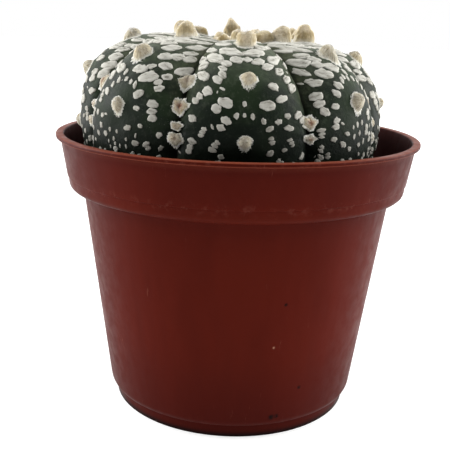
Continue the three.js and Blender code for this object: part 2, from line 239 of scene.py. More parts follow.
def make_piece(name: str, surface: Surface, finish: Material) -> Object:
    """Makes a smooth mesh object at the origin, with its place in its mesh.

    Doubled points are merged and the faces are turned outwards.

    Args:
        name: Name of the object.
        surface: Its points in millimetres, faces, values and UV pairs.
        finish: Its material.

    Returns:
        The new object.
    """
    mesh = bpy.data.meshes.new(name)
    sizes = np.concatenate([np.full(len(f), f.shape[1]) for f in surface.faces])
    corners = np.concatenate([f.ravel() for f in surface.faces])
    mesh.vertices.add(len(surface.points))
    mesh.loops.add(len(corners))
    mesh.polygons.add(len(sizes))
    mesh.vertices.foreach_set("co", (surface.points * MM).astype(np.float32).ravel())
    mesh.loops.foreach_set("vertex_index", corners.astype(np.int32))
    mesh.polygons.foreach_set("loop_start", (np.cumsum(sizes) - sizes).astype(np.int32))
    mesh.polygons.foreach_set("loop_total", sizes.astype(np.int32))
    mesh.polygons.foreach_set("use_smooth", np.ones(len(sizes), bool))
    for value_name, numbers in surface.values.items():
        layer = mesh.attributes.new(value_name, "FLOAT", "POINT")
        layer.data.foreach_set("value", numbers.astype(np.float32))
    if surface.flat is not None:
        layer = mesh.uv_layers.new(name="UVMap")
        layer.data.foreach_set("uv", surface.flat[corners].astype(np.float32).ravel())
    mesh.update(calc_edges=True)
    work = bmesh.new()
    work.from_mesh(mesh)
    bmesh.ops.remove_doubles(work, verts=work.verts, dist=1e-7)
    bmesh.ops.recalc_face_normals(work, faces=work.faces)
    work.to_mesh(mesh)
    work.free()
    mesh.materials.append(finish)
    return new_object(name, mesh)


def hand_over(piece: Object, slot: Slot, *nodes: str) -> None:
    """Lets a piece ride on the part's body, in place of CAD nodes, and logs its size.

    Args:
        piece: The finished object.
        slot: A material slot; not used.
        *nodes: The CAD nodes that it stands for.
    """
    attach(piece, BODY)
    if nodes:
        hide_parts(*nodes)
    LOG.info("%s: %d points, %d faces", piece.name, len(piece.data.vertices), len(piece.data.polygons))


# --- Finishes --------------------


class Nodes:
    """A node tree, with short ways to put nodes into it."""

    def __init__(self, tree: NodeTree) -> None:
        """Takes the tree."""
        self.tree = tree

    def feed(self, node: Node, inputs: dict[str | int, object]) -> None:
        """Links a node's inputs to sockets, or sets them to values.

        Args:
            node: The node.
            inputs: What goes into each input, by its name or its number.
        """
        for name, value in inputs.items():
            if isinstance(value, NodeSocket):
                self.tree.links.new(value, node.inputs[name])
            else:
                node.inputs[name].default_value = value

    def add(self, kind: str, inputs: dict[str | int, object], **settings: object) -> Node:
        """Adds a node.

        Args:
            kind: Blender's name for the kind of node.
            inputs: What goes into each input, by its name or its number.
            **settings: Properties of the node.

        Returns:
            The node.
        """
        node = self.tree.nodes.new(kind)
        for name, value in settings.items():
            setattr(node, name, value)
        self.feed(node, inputs)
        return node

    def span(
        self, source: NodeSocket, low: float, high: float, start: float = 0.0, end: float = 1.0,
    ) -> NodeSocket:
        """Maps low..high of a number smoothly to start..end, and holds it beyond.

        Args:
            source: The number to map.
            low: Where the change begins.
            high: Where it ends.
            start: Result below low.
            end: Result above high.

        Returns:
            The mapped number.
        """
        inputs = {"Value": source, "From Min": low, "From Max": high, "To Min": start, "To Max": end}
        return self.add("ShaderNodeMapRange", inputs, interpolation_type="SMOOTHSTEP").outputs["Result"]


class Recipe(Nodes):
    """A Principled material that is put together from procedural nodes, coat by coat."""

    def __init__(self, name: str, colour: Colour, roughness: float, specular: float) -> None:
        """Starts the material.

        Args:
            name: Name of the material.
            colour: Its first colour, which the coats lie on.
            roughness: Roughness of the whole surface.
            specular: Specular level, 0.5 for an ordinary varnished surface.
        """
        self.material = bpy.data.materials.new(name)
        self.material.use_nodes = True
        super().__init__(self.material.node_tree)
        self.set({"Roughness": roughness, "Specular IOR Level": specular})
        self.colour: NodeSocket | tuple[float, ...] = (*colour, 1)
        self.place = self.add("ShaderNodeTexCoord", {}).outputs["Object"]

    def set(self, inputs: dict[str | int, object]) -> None:
        """Feeds the shader."""
        self.feed(self.tree.nodes["Principled BSDF"], inputs)

    def value(self, name: str) -> NodeSocket:
        """Reads one of the mesh's named numbers."""
        return self.add("ShaderNodeAttribute", {}, attribute_name=name).outputs["Fac"]

    def uv(self) -> NodeSocket:
        """Reads the mesh's UV map."""
        return self.add("ShaderNodeUVMap", {}, uv_map="UVMap").outputs["UV"]

    def height(self) -> NodeSocket:
        """The place's height above the ground, in metres."""
        return self.add("ShaderNodeSeparateXYZ", {"Vector": self.place}).outputs["Z"]

    def stretched(self, source: NodeSocket, scale: Colour, turn: Colour = (0.0, 0.0, 0.0)) -> NodeSocket:
        """Turns coordinates by an angle round each axis, and scales them by a factor for each."""
        inputs = {"Vector": source, "Scale": scale, "Rotation": turn}
        return self.add("ShaderNodeMapping", inputs).outputs["Vector"]

    def noise(
        self, grain_mm: float, detail: float = 3.0, rough: float = 0.55, where: NodeSocket | None = None,
    ) -> NodeSocket:
        """A noise pattern.

        Args:
            grain_mm: Size of its largest features on Object coordinates.
            detail: How many finer layers it has.
            rough: How strong they are.
            where: Coordinates to read instead of the Object ones, in millimetres.

        Returns:
            Its factor, about 0.3 to 0.7.
        """
        scale = 1 / grain_mm if where else 1 / (grain_mm * MM)
        inputs = {"Vector": where or self.place, "Scale": scale, "Detail": detail, "Roughness": rough}
        return self.add("ShaderNodeTexNoise", inputs).outputs["Fac"]

    def cells(self, size_mm: float) -> NodeSocket:
        """Distance to the nearest of scattered points, in cells of a size."""
        inputs = {"Vector": self.place, "Scale": 1 / (size_mm * MM)}
        return self.add("ShaderNodeTexVoronoi", inputs).outputs["Distance"]

    def spot(self, place_mm: Array, size_mm: float) -> NodeSocket:
        """A ragged spot: 1 at a place and 0 further away than its size."""
        away = self.add("ShaderNodeVectorMath", {0: self.place, 1: list(place_mm * MM)}, operation="DISTANCE")
        near = self.span(away.outputs["Value"], 0.2 * size_mm * MM, size_mm * MM, 1, 0)
        return self.times(near, self.span(self.noise(0.5, 3), 0.3, 0.55, 0.3, 1))

    def times(self, first: NodeSocket, second: NodeSocket) -> NodeSocket:
        """Multiplies two numbers."""
        return self.add("ShaderNodeMath", {0: first, 1: second}, operation="MULTIPLY").outputs["Value"]

    def coat(self, colour: Colour, share: NodeSocket, also: NodeSocket | None = None) -> None:
        """Lays a colour over those before it.

        Args:
            colour: The colour.
            share: Where it lies: 0 for nowhere, 1 for all over.
            also: A second number that the share is multiplied by.
        """
        factor = self.times(share, also) if also else share
        inputs = {"Factor": factor, 6: self.colour, 7: (*colour, 1)}
        self.colour = self.add("ShaderNodeMix", inputs, data_type="RGBA").outputs[2]

    def relief(self, *layers: tuple[NodeSocket, float]) -> None:
        """Adds bumps to the surface, one layer on another.

        Args:
            *layers: Pairs of a pattern and its depth in millimetres.
        """
        below = {}
        for pattern, depth_mm in layers:
            inputs = {"Height": pattern, "Distance": depth_mm * MM, **below}
            below = {"Normal": self.add("ShaderNodeBump", inputs).outputs["Normal"]}
        self.set(below)

    def done(self, roughness: NodeSocket | None = None) -> Material:
        """Puts the colour, and a varying roughness if there is one, on the shader."""
        self.set({"Base Color": self.colour} | ({"Roughness": roughness} if roughness else {}))
        return self.material


@dataclass(frozen=True)
class Mark:
    """A small spot on the pot: angle from -Y, radius from the axis, height, size and colour."""

    angle: float
    r: float
    z: float
    size: float
    colour: Colour = (0.006, 0.0015, 0.001)


@dataclass(frozen=True)
class PotPlastic:
    """Terracotta-red moulded plastic, semi-matt: faint flow lines, scuffs and dust inside, with painted shade
    under the lip, along the collar, inside and at the foot, and painted highlights on the lip and shoulder
    edges.
    """

    body: Colour = (0.0745, 0.0059, 0.0019)
    flow: Colour = (0.062, 0.0046, 0.0014)
    # Painted shade: the dark colour laid on by height, low on the body, round the shoulder, along the collar
    # and under the lip.
    thick: Colour = (0.047, 0.0033, 0.0013)
    # Painted highlight colour for the lip's top and lower edges and the shoulder.
    edge: Colour = (0.165, 0.037, 0.019)
    # Painted shade colour: inside the pot below the lip, and on the outside of the foot's lowest millimetre.
    inside: Colour = (0.02, 0.002, 0.0016)
    scuff: Colour = (0.15, 0.045, 0.031)
    dust: Colour = (0.03, 0.02, 0.013)
    # Painted shadow colour for the foot's lowest edge.
    painted_foot_shadow: Colour = (0.008, 0.0015, 0.001)
    marks: tuple[Mark, ...] = (
        Mark(16.4, 24.9, 17.6, 0.32, (0.28, 0.13, 0.085)),
        Mark(19.3, 25.9, 25.3, 0.45),
        Mark(29.7, 23.8, 9.2, 0.5),
        Mark(18.3, 23.1, 4.1, 0.8),
        Mark(20.6, 23.1, 4.2, 0.6),
    )

    def make(self) -> Material:
        """Makes the material."""
        recipe = Recipe("pot_plastic", self.flow, 0.42, 0.034)
        upright = recipe.stretched(recipe.place, (1000, 1000, 140))
        slanting = recipe.stretched(recipe.place, (1000, 1000, 90), (0.35, 0.2, 0.4))
        flow = recipe.noise(8, 3, 0.6, upright)
        recipe.coat(self.body, recipe.span(flow, 0.34, 0.66))
        # Painted shade by height, from the section's table of heights.
        recipe.coat(self.thick, recipe.value("painted_shade"))
        # Painted shade inside the pot and along the foot's lowest edge.
        recipe.coat(self.inside, recipe.value("inside"))
        # Painted highlights: thin light lines on the lip's edges and a faint band above the shoulder.
        recipe.coat(self.edge, recipe.value("edge"))
        for mark in self.marks:
            place = from_front(mark.r, np.radians(mark.angle), mark.z)
            recipe.coat(mark.colour, recipe.spot(place, mark.size))
        scratches = recipe.span(recipe.noise(0.7, 3, 0.6, slanting), 0.68, 0.76, 0, 0.5)
        recipe.coat(self.scuff, scratches, recipe.span(recipe.noise(9, 2), 0.45, 0.6))
        rubbed = recipe.span(recipe.noise(1.2, 5, 0.7), 0.5, 0.66, 0, 0.32)
        recipe.coat(self.scuff, recipe.value("wear"), rubbed)
        recipe.coat(self.dust, recipe.span(recipe.noise(0.7, 5, 0.7), 0.42, 0.62), recipe.value("dust"))
        # Painted shadow: a near-black line along the lowest millimetre of the foot.
        recipe.coat(self.painted_foot_shadow, recipe.span(recipe.height(), 0.45 * MM, 0.95 * MM, 0.9, 0))
        recipe.relief((flow, 0.08), (recipe.noise(4, 2), 0.06), (recipe.noise(0.35, 3), 0.008))
        return recipe.done(recipe.span(recipe.noise(2.2, 4), 0.3, 0.7, 0.36, 0.5))


@dataclass(frozen=True)
class StemSkin:
    """Dark green waxy skin with fine pale scurf, painted lighter towards the crown, with painted shade low
    down and in the creases and painted light in the upper grooves.
    """

    deep: Colour = (0.0075, 0.012, 0.0076)
    fresh: Colour = (0.016, 0.0275, 0.0125)
    # Painted light: the lighter colour towards the crown, also used for a faint mottle all over.
    crown: Colour = (0.13, 0.15, 0.104)
    # Painted shade colour for the lower stem near the pot's rim.
    low: Colour = (0.0022, 0.0042, 0.0024)
    # Painted light: an olive colour that lifts the shading in the upper grooves.
    painted_groove_light: Colour = (0.07, 0.078, 0.04)
    # Painted shade colour for the creases between ribs.
    crease: Colour = (0.003, 0.003, 0.0015)
    scurf: Colour = (0.09, 0.1, 0.085)

    def make(self) -> Material:
        """Makes the material."""
        recipe = Recipe("stem_skin", self.deep, 0.55, 0.062)
        patches = recipe.noise(7, 3, 0.6)
        mottle = recipe.noise(0.9, 5, 0.7)
        recipe.coat(self.fresh, recipe.span(patches, 0.42, 0.66))
        recipe.coat(self.crown, recipe.span(mottle, 0.5, 0.7, 0, 0.2))
        # Painted shade low on the stem.
        recipe.coat(self.low, recipe.value("low"))
        # Painted light that grows towards the crown.
        recipe.coat(self.crown, recipe.value("crown_light_share"), recipe.span(mottle, 0.3, 0.62, 0.4, 1))
        # Painted light in the upper grooves, mottled.
        recipe.coat(self.painted_groove_light, recipe.value("groove_light_share"), recipe.span(mottle, 0.35, 0.6, 0.1, 0.9))
        # Painted shade in the creases.
        recipe.coat(self.crease, recipe.value("crease_shade_share"))
        dots = recipe.span(recipe.cells(0.42), 0.1, 0.22, 1, 0)
        recipe.coat(self.scurf, dots, recipe.span(recipe.noise(1.6, 3), 0.48, 0.66, 0, 0.5))
        recipe.relief((mottle, 0.1), (recipe.cells(0.3), 0.015), (recipe.noise(0.25, 2), 0.02))
        return recipe.done(recipe.span(patches, 0.3, 0.7, 0.46, 0.6))


@dataclass(frozen=True)
class FleckHair:
    """Off-white pads of pressed hairs, streaked along the pad, with greyer hollows and edges, greying with
    age and with painted shade further down the stem.
    """

    white: Colour = (0.585, 0.575, 0.52)
    shade: Colour = (0.35, 0.34, 0.295)
    slit: Colour = (0.13, 0.125, 0.1)
    rim: Colour = (0.36, 0.36, 0.3)
    # Greyer colour of older flecks, also painted shade that deepens down the stem.
    old: Colour = (0.24, 0.23, 0.2)

    def make(self) -> Material:
        """Makes the material."""
        recipe = Recipe("fleck_hair", self.shade, 0.85, 0.1)
        streaks = recipe.noise(0.5, 4, 0.65, recipe.stretched(recipe.uv(), (0.35, 1, 1)))
        rim = recipe.value("rim")
        recipe.coat(self.white, recipe.span(streaks, 0.38, 0.54))
        recipe.coat(self.shade, recipe.span(rim, 0.1, 0.75, 0.45, 0))
        recipe.coat(self.slit, recipe.span(streaks, 0.34, 0.43, 0.9, 0), recipe.span(rim, 0.5, 0.9, 1, 0))
        recipe.coat(self.rim, recipe.span(rim, 0.92, 1, 0, 0.35))
        # Greyer with age and painted shade, growing down the stem.
        recipe.coat(self.old, recipe.value("shade"), recipe.span(recipe.noise(3, 3), 0.3, 0.7, 0.55, 1))
        recipe.relief((streaks, 0.12), (recipe.noise(0.3, 3), 0.04))
        return recipe.done()


@dataclass(frozen=True)
class Wool:
    """Matted wool in tan, cream and grey, pale along the fringe, browner in some hearts, with a golden
    painted shade low on the young domes and painted shade in the hollows between fibres.

    light_depth is how far light spreads in it, in metres.
    """

    grey: Colour = (0.46, 0.43, 0.35)
    tan: Colour = (0.535, 0.462, 0.335)
    # Painted shade colour, golden, for the lower part of the domes.
    painted_golden_shade: Colour = (0.3, 0.235, 0.115)
    fringe: Colour = (0.78, 0.755, 0.65)
    heart: Colour = (0.17, 0.06, 0.02)
    # Painted shade colour for the hollows between fibres and in the felt.
    hollow: Colour = (0.17, 0.14, 0.09)
    light_depth: float = 2.1 * MM

    def make(self, name: str) -> Material:
        """Makes the material under a name.

        Args:
            name: Name of the material.

        Returns:
            The material.
        """
        recipe = Recipe(name, self.grey, 0.9, 0.06)
        recipe.set({"Sheen Weight": 0.15, "Sheen Roughness": 0.5, "Subsurface Weight": 0.6})
        recipe.set({"Subsurface Radius": (1.0, 0.95, 0.82), "Subsurface Scale": self.light_depth})
        youth, fall = recipe.value("youth"), recipe.value("fall")
        fibres = recipe.noise(0.42, 3, 0.6, recipe.uv())
        felt = recipe.noise(0.35, 4, 0.65)
        recipe.coat(self.tan, youth)
        # Painted shade in patches on the lower part of the young domes.
        painted_golden_shade = recipe.times(youth, recipe.span(recipe.noise(2.0, 2, 0.5), 0.4, 0.58, 0.08, 0.85))
        recipe.coat(self.painted_golden_shade, painted_golden_shade, recipe.span(fall, 0.16, 0.48))
        # Painted shade in the hollows between fibres, weaker on young wool, and in the felt.
        recipe.coat(self.hollow, recipe.span(fibres, 0.34, 0.48, 0.9, 0), recipe.span(youth, 0.5, 1, 1, 0.12))
        recipe.coat(self.hollow, recipe.span(felt, 0.34, 0.5, 0.36, 0))
        recipe.coat(self.fringe, recipe.span(fall, 0.6, 0.84), recipe.span(fibres, 0.3, 0.45, 0.5, 0.95))
        recipe.coat(self.heart, recipe.value("heart"))
        recipe.relief((fibres, 0.16), (felt, 0.1), (recipe.noise(0.14, 3, 0.7), 0.05))
        return recipe.done()


@dataclass(frozen=True)
class PottingSoil:
    """Dark damp peat."""

    dark: Colour = (0.012, 0.008, 0.005)
    brown: Colour = (0.055, 0.034, 0.019)

    def make(self) -> Material:
        """Makes the material."""
        recipe = Recipe("potting_soil", self.dark, 0.95, 0.2)
        crumbs = recipe.noise(0.8, 5, 0.7)
        recipe.coat(self.brown, recipe.span(crumbs, 0.35, 0.65))
        recipe.relief((crumbs, 0.5), (recipe.noise(0.25, 3), 0.15))
        return recipe.done()


@dataclass(frozen=True)
class SoilGrit:
    """Grains in the soil: peat crumbs, tan bark and pale pumice, by the grain's own number."""

    peat: Colour = (0.03, 0.018, 0.01)
    bark: Colour = (0.11, 0.06, 0.03)
    pumice: Colour = (0.42, 0.38, 0.31)

    def make(self) -> Material:
        """Makes the material."""
        recipe = Recipe("soil_grit", self.peat, 0.92, 0.2)
        kind = recipe.value("kind")
        recipe.coat(self.bark, recipe.span(kind, 0.3, 0.7))
        recipe.coat(self.pumice, recipe.span(kind, 0.84, 0.88))
        recipe.relief((recipe.noise(0.3, 4, 0.7), 0.12))
        return recipe.done()


@dataclass(frozen=True)
class Glowing:
    """A plain surface with a faint even light of its own."""

    name: str
    colour: Colour
    roughness: float
    specular: float
    glow: float

    def make(self) -> Material:
        """Makes the material."""
        recipe = Recipe(self.name, self.colour, self.roughness, self.specular)
        recipe.set({"Emission Color": WHITE, "Emission Strength": self.glow})
        return recipe.done()


# --- Pot --------------------


@dataclass(frozen=True)
class Corner:
    """A corner of the pot's section: its radius from the axis, its height and its rounding."""

    r: float
    z: float
    rounding: float = 0.0


@dataclass
class Pot:
    """The moulded nursery pot: lip, collar, rounded shoulder, tapered body, foot ring and floor.

    Lengths are in millimetres. The shade places are pairs of a height and how deep the painted shade on the
    plastic is there: low on the body, round the shoulder, along the collar, under the lip and on the lip's
    face.
    """

    height: float = 49.2
    wall: float = 0.65
    lip_radius: float = 32.5
    lip_thickness: float = 0.6
    collar_top: float = 31.75
    collar_foot: float = 30.65
    collar_foot_z: float = 41.8
    collar_step: float = 0.2
    shoulder_z: float = 39.4
    body_top: float = 27.9
    body_foot: float = 22.95
    body_foot_z: float = 3.2
    chamfer: float = 0.6
    foot_radius: float = 21.8
    foot_ring: float = 1.2
    floor_z: float = 2.2
    floor_thickness: float = 0.8
    drain_count: int = 6
    drain_radius: float = 2.2
    drain_circle: float = 15.5
    drain_plate: tuple[float, float] = (10.5, 20.0)
    hole_rounding: float = 0.12
    swell: float = 0.06
    lip_wave: float = 0.05
    sector_columns: int = 40
    sector_rows: int = 12
    disc_rings: int = 6
    corner_points: int = 6
    step: float = 1.1
    # Heights with their depth of painted shade: low on the body, round the shoulder, along the collar, under
    # the lip and on its face.
    shade_places: tuple[tuple[float, float], ...] = (
        (0.0, 1.0), (4.0, 0.75), (10.0, 0.4), (15.0, 0.05), (18.0, 0.0), (31.0, 0.0), (36.0, 0.25),
        (38.8, 0.6), (39.8, 0.55), (40.4, 0.2), (41.8, 0.15), (42.6, 0.35), (45.0, 0.5), (47.3, 0.6),
        (47.8, 1.0), (48.5, 1.0), (48.6, 0.4), (48.7, 1.0), (49.0, 1.0), (49.15, 0.2),
    )
    finish: PotPlastic = field(default_factory=PotPlastic)

    def __post_init__(self) -> None:
        """Works out the levels that several methods need."""
        self.lip_under = self.height - self.lip_thickness
        self.floor_top = self.floor_z + self.floor_thickness

    def section(self) -> list[Corner]:
        """Corners of the wall's section, from the underside of the floor round to its top.

        Returns:
            The corners.
        """
        foot_inner = self.foot_radius - self.foot_ring
        shoulder = self.collar_foot - self.collar_step
        chamfer_z = self.body_foot_z - self.chamfer
        bend = 0.45 * (self.collar_foot_z - self.shoulder_z)
        return [
            Corner(self.drain_plate[1], self.floor_z),
            Corner(foot_inner, self.floor_z, 0.2),
            Corner(foot_inner, 0.0, 0.2),
            Corner(self.foot_radius, 0.0, 0.3),
            Corner(self.foot_radius + 0.05, chamfer_z, 0.12),
            Corner(self.body_foot - self.chamfer / 2, chamfer_z, 0.1),
            Corner(self.body_foot, self.body_foot_z, 0.35),
            Corner(self.body_top, self.shoulder_z, 0.5),
            Corner(shoulder - 0.15, self.shoulder_z + 0.2, bend),
            Corner(shoulder, self.collar_foot_z, 0.08),
            Corner(self.collar_foot, self.collar_foot_z, 0.12),
            Corner(self.collar_top, self.lip_under, 0.12),
            Corner(self.lip_radius, self.lip_under - 0.05, 0.2),
            Corner(self.lip_radius, self.height, 0.26),
            Corner(self.collar_top - self.wall, self.height, 0.26),
            Corner(self.collar_foot - self.wall, self.collar_foot_z + 0.1, 0.8),
            Corner(self.body_top - self.wall, self.shoulder_z + self.wall, 1.0),
            Corner(self.body_foot - self.wall, self.floor_top, 1.0),
            Corner(self.drain_plate[1], self.floor_top),
        ]

    def rounded(self) -> Array:
        """The section's corners rounded and its straight runs divided.

        Each corner is a quadratic curve between the two points that lie its rounding away, and
        no straight run between two points is longer than the step.

        Returns:
            Array (points, 2) of radius and height.
        """
        corners = self.section()
        places = np.array([[corner.r, corner.z] for corner in corners])
        t = np.linspace(0, 1, self.corner_points)[:, None]
        curves = []
        for corner, before, here, after in zip(corners[1:], places, places[1:], places[2:]):
            back, ahead = before - here, after - here
            back_run, ahead_run = np.linalg.norm(back), np.linalg.norm(ahead)
            reach = min(corner.rounding, 0.49 * back_run, 0.49 * ahead_run)
            start, end = here + back / back_run * reach, here + ahead / ahead_run * reach
            curves.append((1 - t) ** 2 * start + 2 * t * (1 - t) * here + t**2 * end)
        line = np.concatenate([places[:1], *curves, places[-1:]])
        run = np.linalg.norm(np.diff(line, axis=0), axis=1)
        parts = [
            a + (b - a) * np.linspace(0, 1, max(1, int(np.ceil(length / self.step))), endpoint=False)[:, None]
            for a, b, length in zip(line, line[1:], run)
        ]
        return np.concatenate([*parts, line[-1:]])

    def shell(self) -> Surface:
        """The wall: the section turned round the axis.

        The radius swells and shrinks by a few hundredths of a millimetre round the pot, as
        moulded plastic does, and the lip waves a little in height.

        Returns:
            The wall's surface.
        """
        line = self.rounded()
        angle = turns(self.sector_columns * self.drain_count)
        z = line[:, 1:] + 0 * angle
        bulge = 1 + np.cos(2 * angle + 0.7) * 0.6 + np.cos(3 * angle + 2.1) * 0.4
        r = line[:, :1] - ramp(z, 6, 30) * self.swell * bulge
        z = z - ramp(z, 44, 5) * self.lip_wave * (1 + np.cos(3 * angle + 1.0))
        values = {name: np.repeat(numbers, len(angle)) for name, numbers in self.wall_values(line).items()}
        return Surface(around_z(r, angle, z).reshape(-1, 3), [strip_faces(*z.shape)], values)

    def wall_values(self, line: Array) -> dict[str, Array]:
        """What the finish reads at each point of the wall's section.

        Args:
            line: The section, radius and height.

        Returns:
            Dust, wear, painted highlights on the edges, painted shade by height, and painted shade inside and
            on the foot's lowest millimetre.
        """
        z = line[:, 1]
        inside = np.arange(len(line)) > np.argmax(z - 0.001 * line[:, 0])
        edges = [(self.height, 1.0), (self.collar_foot_z, 1.0), (self.body_foot_z, 0.15), (0.0, 0.1)]
        wear = np.max([share * bell(z - edge, 0.7) for edge, share in edges], axis=0)
        # Painted highlights along the lip's top and lower edges, and faintly just above the shoulder.
        light = bell(z - self.height, 0.1) + 0.75 * bell(z - self.lip_under, 0.1)
        light += 0.05 * bell(z - self.shoulder_z - 0.8, 0.5)
        return {
            "dust": np.clip(1 - np.abs(z - 41.5) / 3.5, 0, 1) * inside,
            "wear": np.clip(wear, 0, 1) * ~inside,
            "edge": np.clip(light, 0, 1) * (1 - 0.6 * inside),
            # Painted shade by height, a little deeper on the inner side.
            "painted_shade": np.clip(np.interp(z, *np.array(self.shade_places).T) + 0.3 * inside, 0, 1),
            # Painted shade: full from 2.5 mm below the lip inside, and along the foot's lowest millimetre
            # outside.
            "inside": np.where(inside, ramp(z, self.height, -2.5), np.clip(1.5 - 1.5 * z, 0, 1)),
        }

    def disc(self, z: float, dust: float) -> Surface:
        """The middle of the floor's top or underside: rings round the axis out to the drain plate.

        Args:
            z: Its height.
            dust: How dusty it is.

        Returns:
            The disc's surface.
        """
        angle = turns(self.sector_columns * self.drain_count)
        radii = np.linspace(0.5, self.drain_plate[0], self.disc_rings)[:, None]
        points = np.concatenate([around_z(radii, angle, z).reshape(-1, 3), [[0, 0, z]]])
        faces = [strip_faces(self.disc_rings, len(angle)), cap_faces(np.arange(len(angle)), len(points) - 1)]
        return self.floor_surface(points, faces, dust)

    def sector(self, index: int) -> Surface:
        """One sector of the floor round its drain hole.

        Each point of the sector's outline is joined straight to the hole's edge, in the direction
        of the hole's centre. The rows run inwards on top, through the hole and out underneath.

        Args:
            index: Which of the sectors, counted anticlockwise.

        Returns:
            The sector's surface.
        """
        inner, outer = self.drain_plate
        start, end = (number / self.drain_count * 2 * np.pi for number in (index, index + 1))
        sweep = np.linspace(start, end, self.sector_columns + 1)
        rise = np.linspace(inner, outer, self.sector_rows + 1)[1:-1]
        arcs = [around_z(outer, sweep), around_z(rise[::-1], end), around_z(inner, sweep[::-1])]
        outline = np.concatenate([*arcs, around_z(rise, start)])
        centre = around_z(self.drain_circle, (start + end) / 2)
        hole = centre + unit(outline - centre) * self.drain_radius
        top, under = self.floor_top, self.floor_z
        rows = [(0, top), (0.4, top), (0.8, top), (0.97, top), (1, top - self.hole_rounding)]
        rows += [(1, under + self.hole_rounding), (0.97, under), (0.8, under), (0.4, under), (0, under)]
        layers = [stacked(*(outline + (hole - outline) * share).T, z) for share, z in rows]
        return self.floor_surface(np.concatenate(layers), [strip_faces(len(rows), len(outline))], 0.4)

    def floor_surface(self, points: Array, faces: list[Array], dust: float) -> Surface:
        """Gives floor points the values that the wall has."""
        # The floor takes a middling painted shade by height and some painted inside shade.
        levels = {"dust": dust, "wear": 0.2, "edge": 0.0, "painted_shade": 0.5, "inside": 0.3}
        return Surface(points, faces, {name: np.full(len(points), level) for name, level in levels.items()})

    def build(self) -> None:
        """Builds the pot as one closed piece."""
        parts = [self.shell(), self.disc(self.floor_top, 1.0), self.disc(self.floor_z, 0.1)]
        parts += [self.sector(index) for index in range(self.drain_count)]
        hand_over(make_piece("nursery_pot", joined(parts), self.finish.make()), Slot.POT, "pot")


# --- Stem --------------------


@dataclass(frozen=True)
class Rib:
    """One rib: the angles of its crest and of its half width, and what grows on it.

    Angles are in radians from -Y towards +X. first_areole is a length, and groove_tufts counts
    the small tufts in the groove on its -X side.
    """

    middle: float
    half: float
    first_areole: float
    groove_tufts: int


@dataclass
class Places:
    """Places on the skin, and the directions that look straight out of it."""

    here: Array
    out: Array


def outward(side: Array, down: Array) -> Array:
    """Directions at right angles to those round the stem and down the rib."""
    return unit(np.cross(unit(down), side))


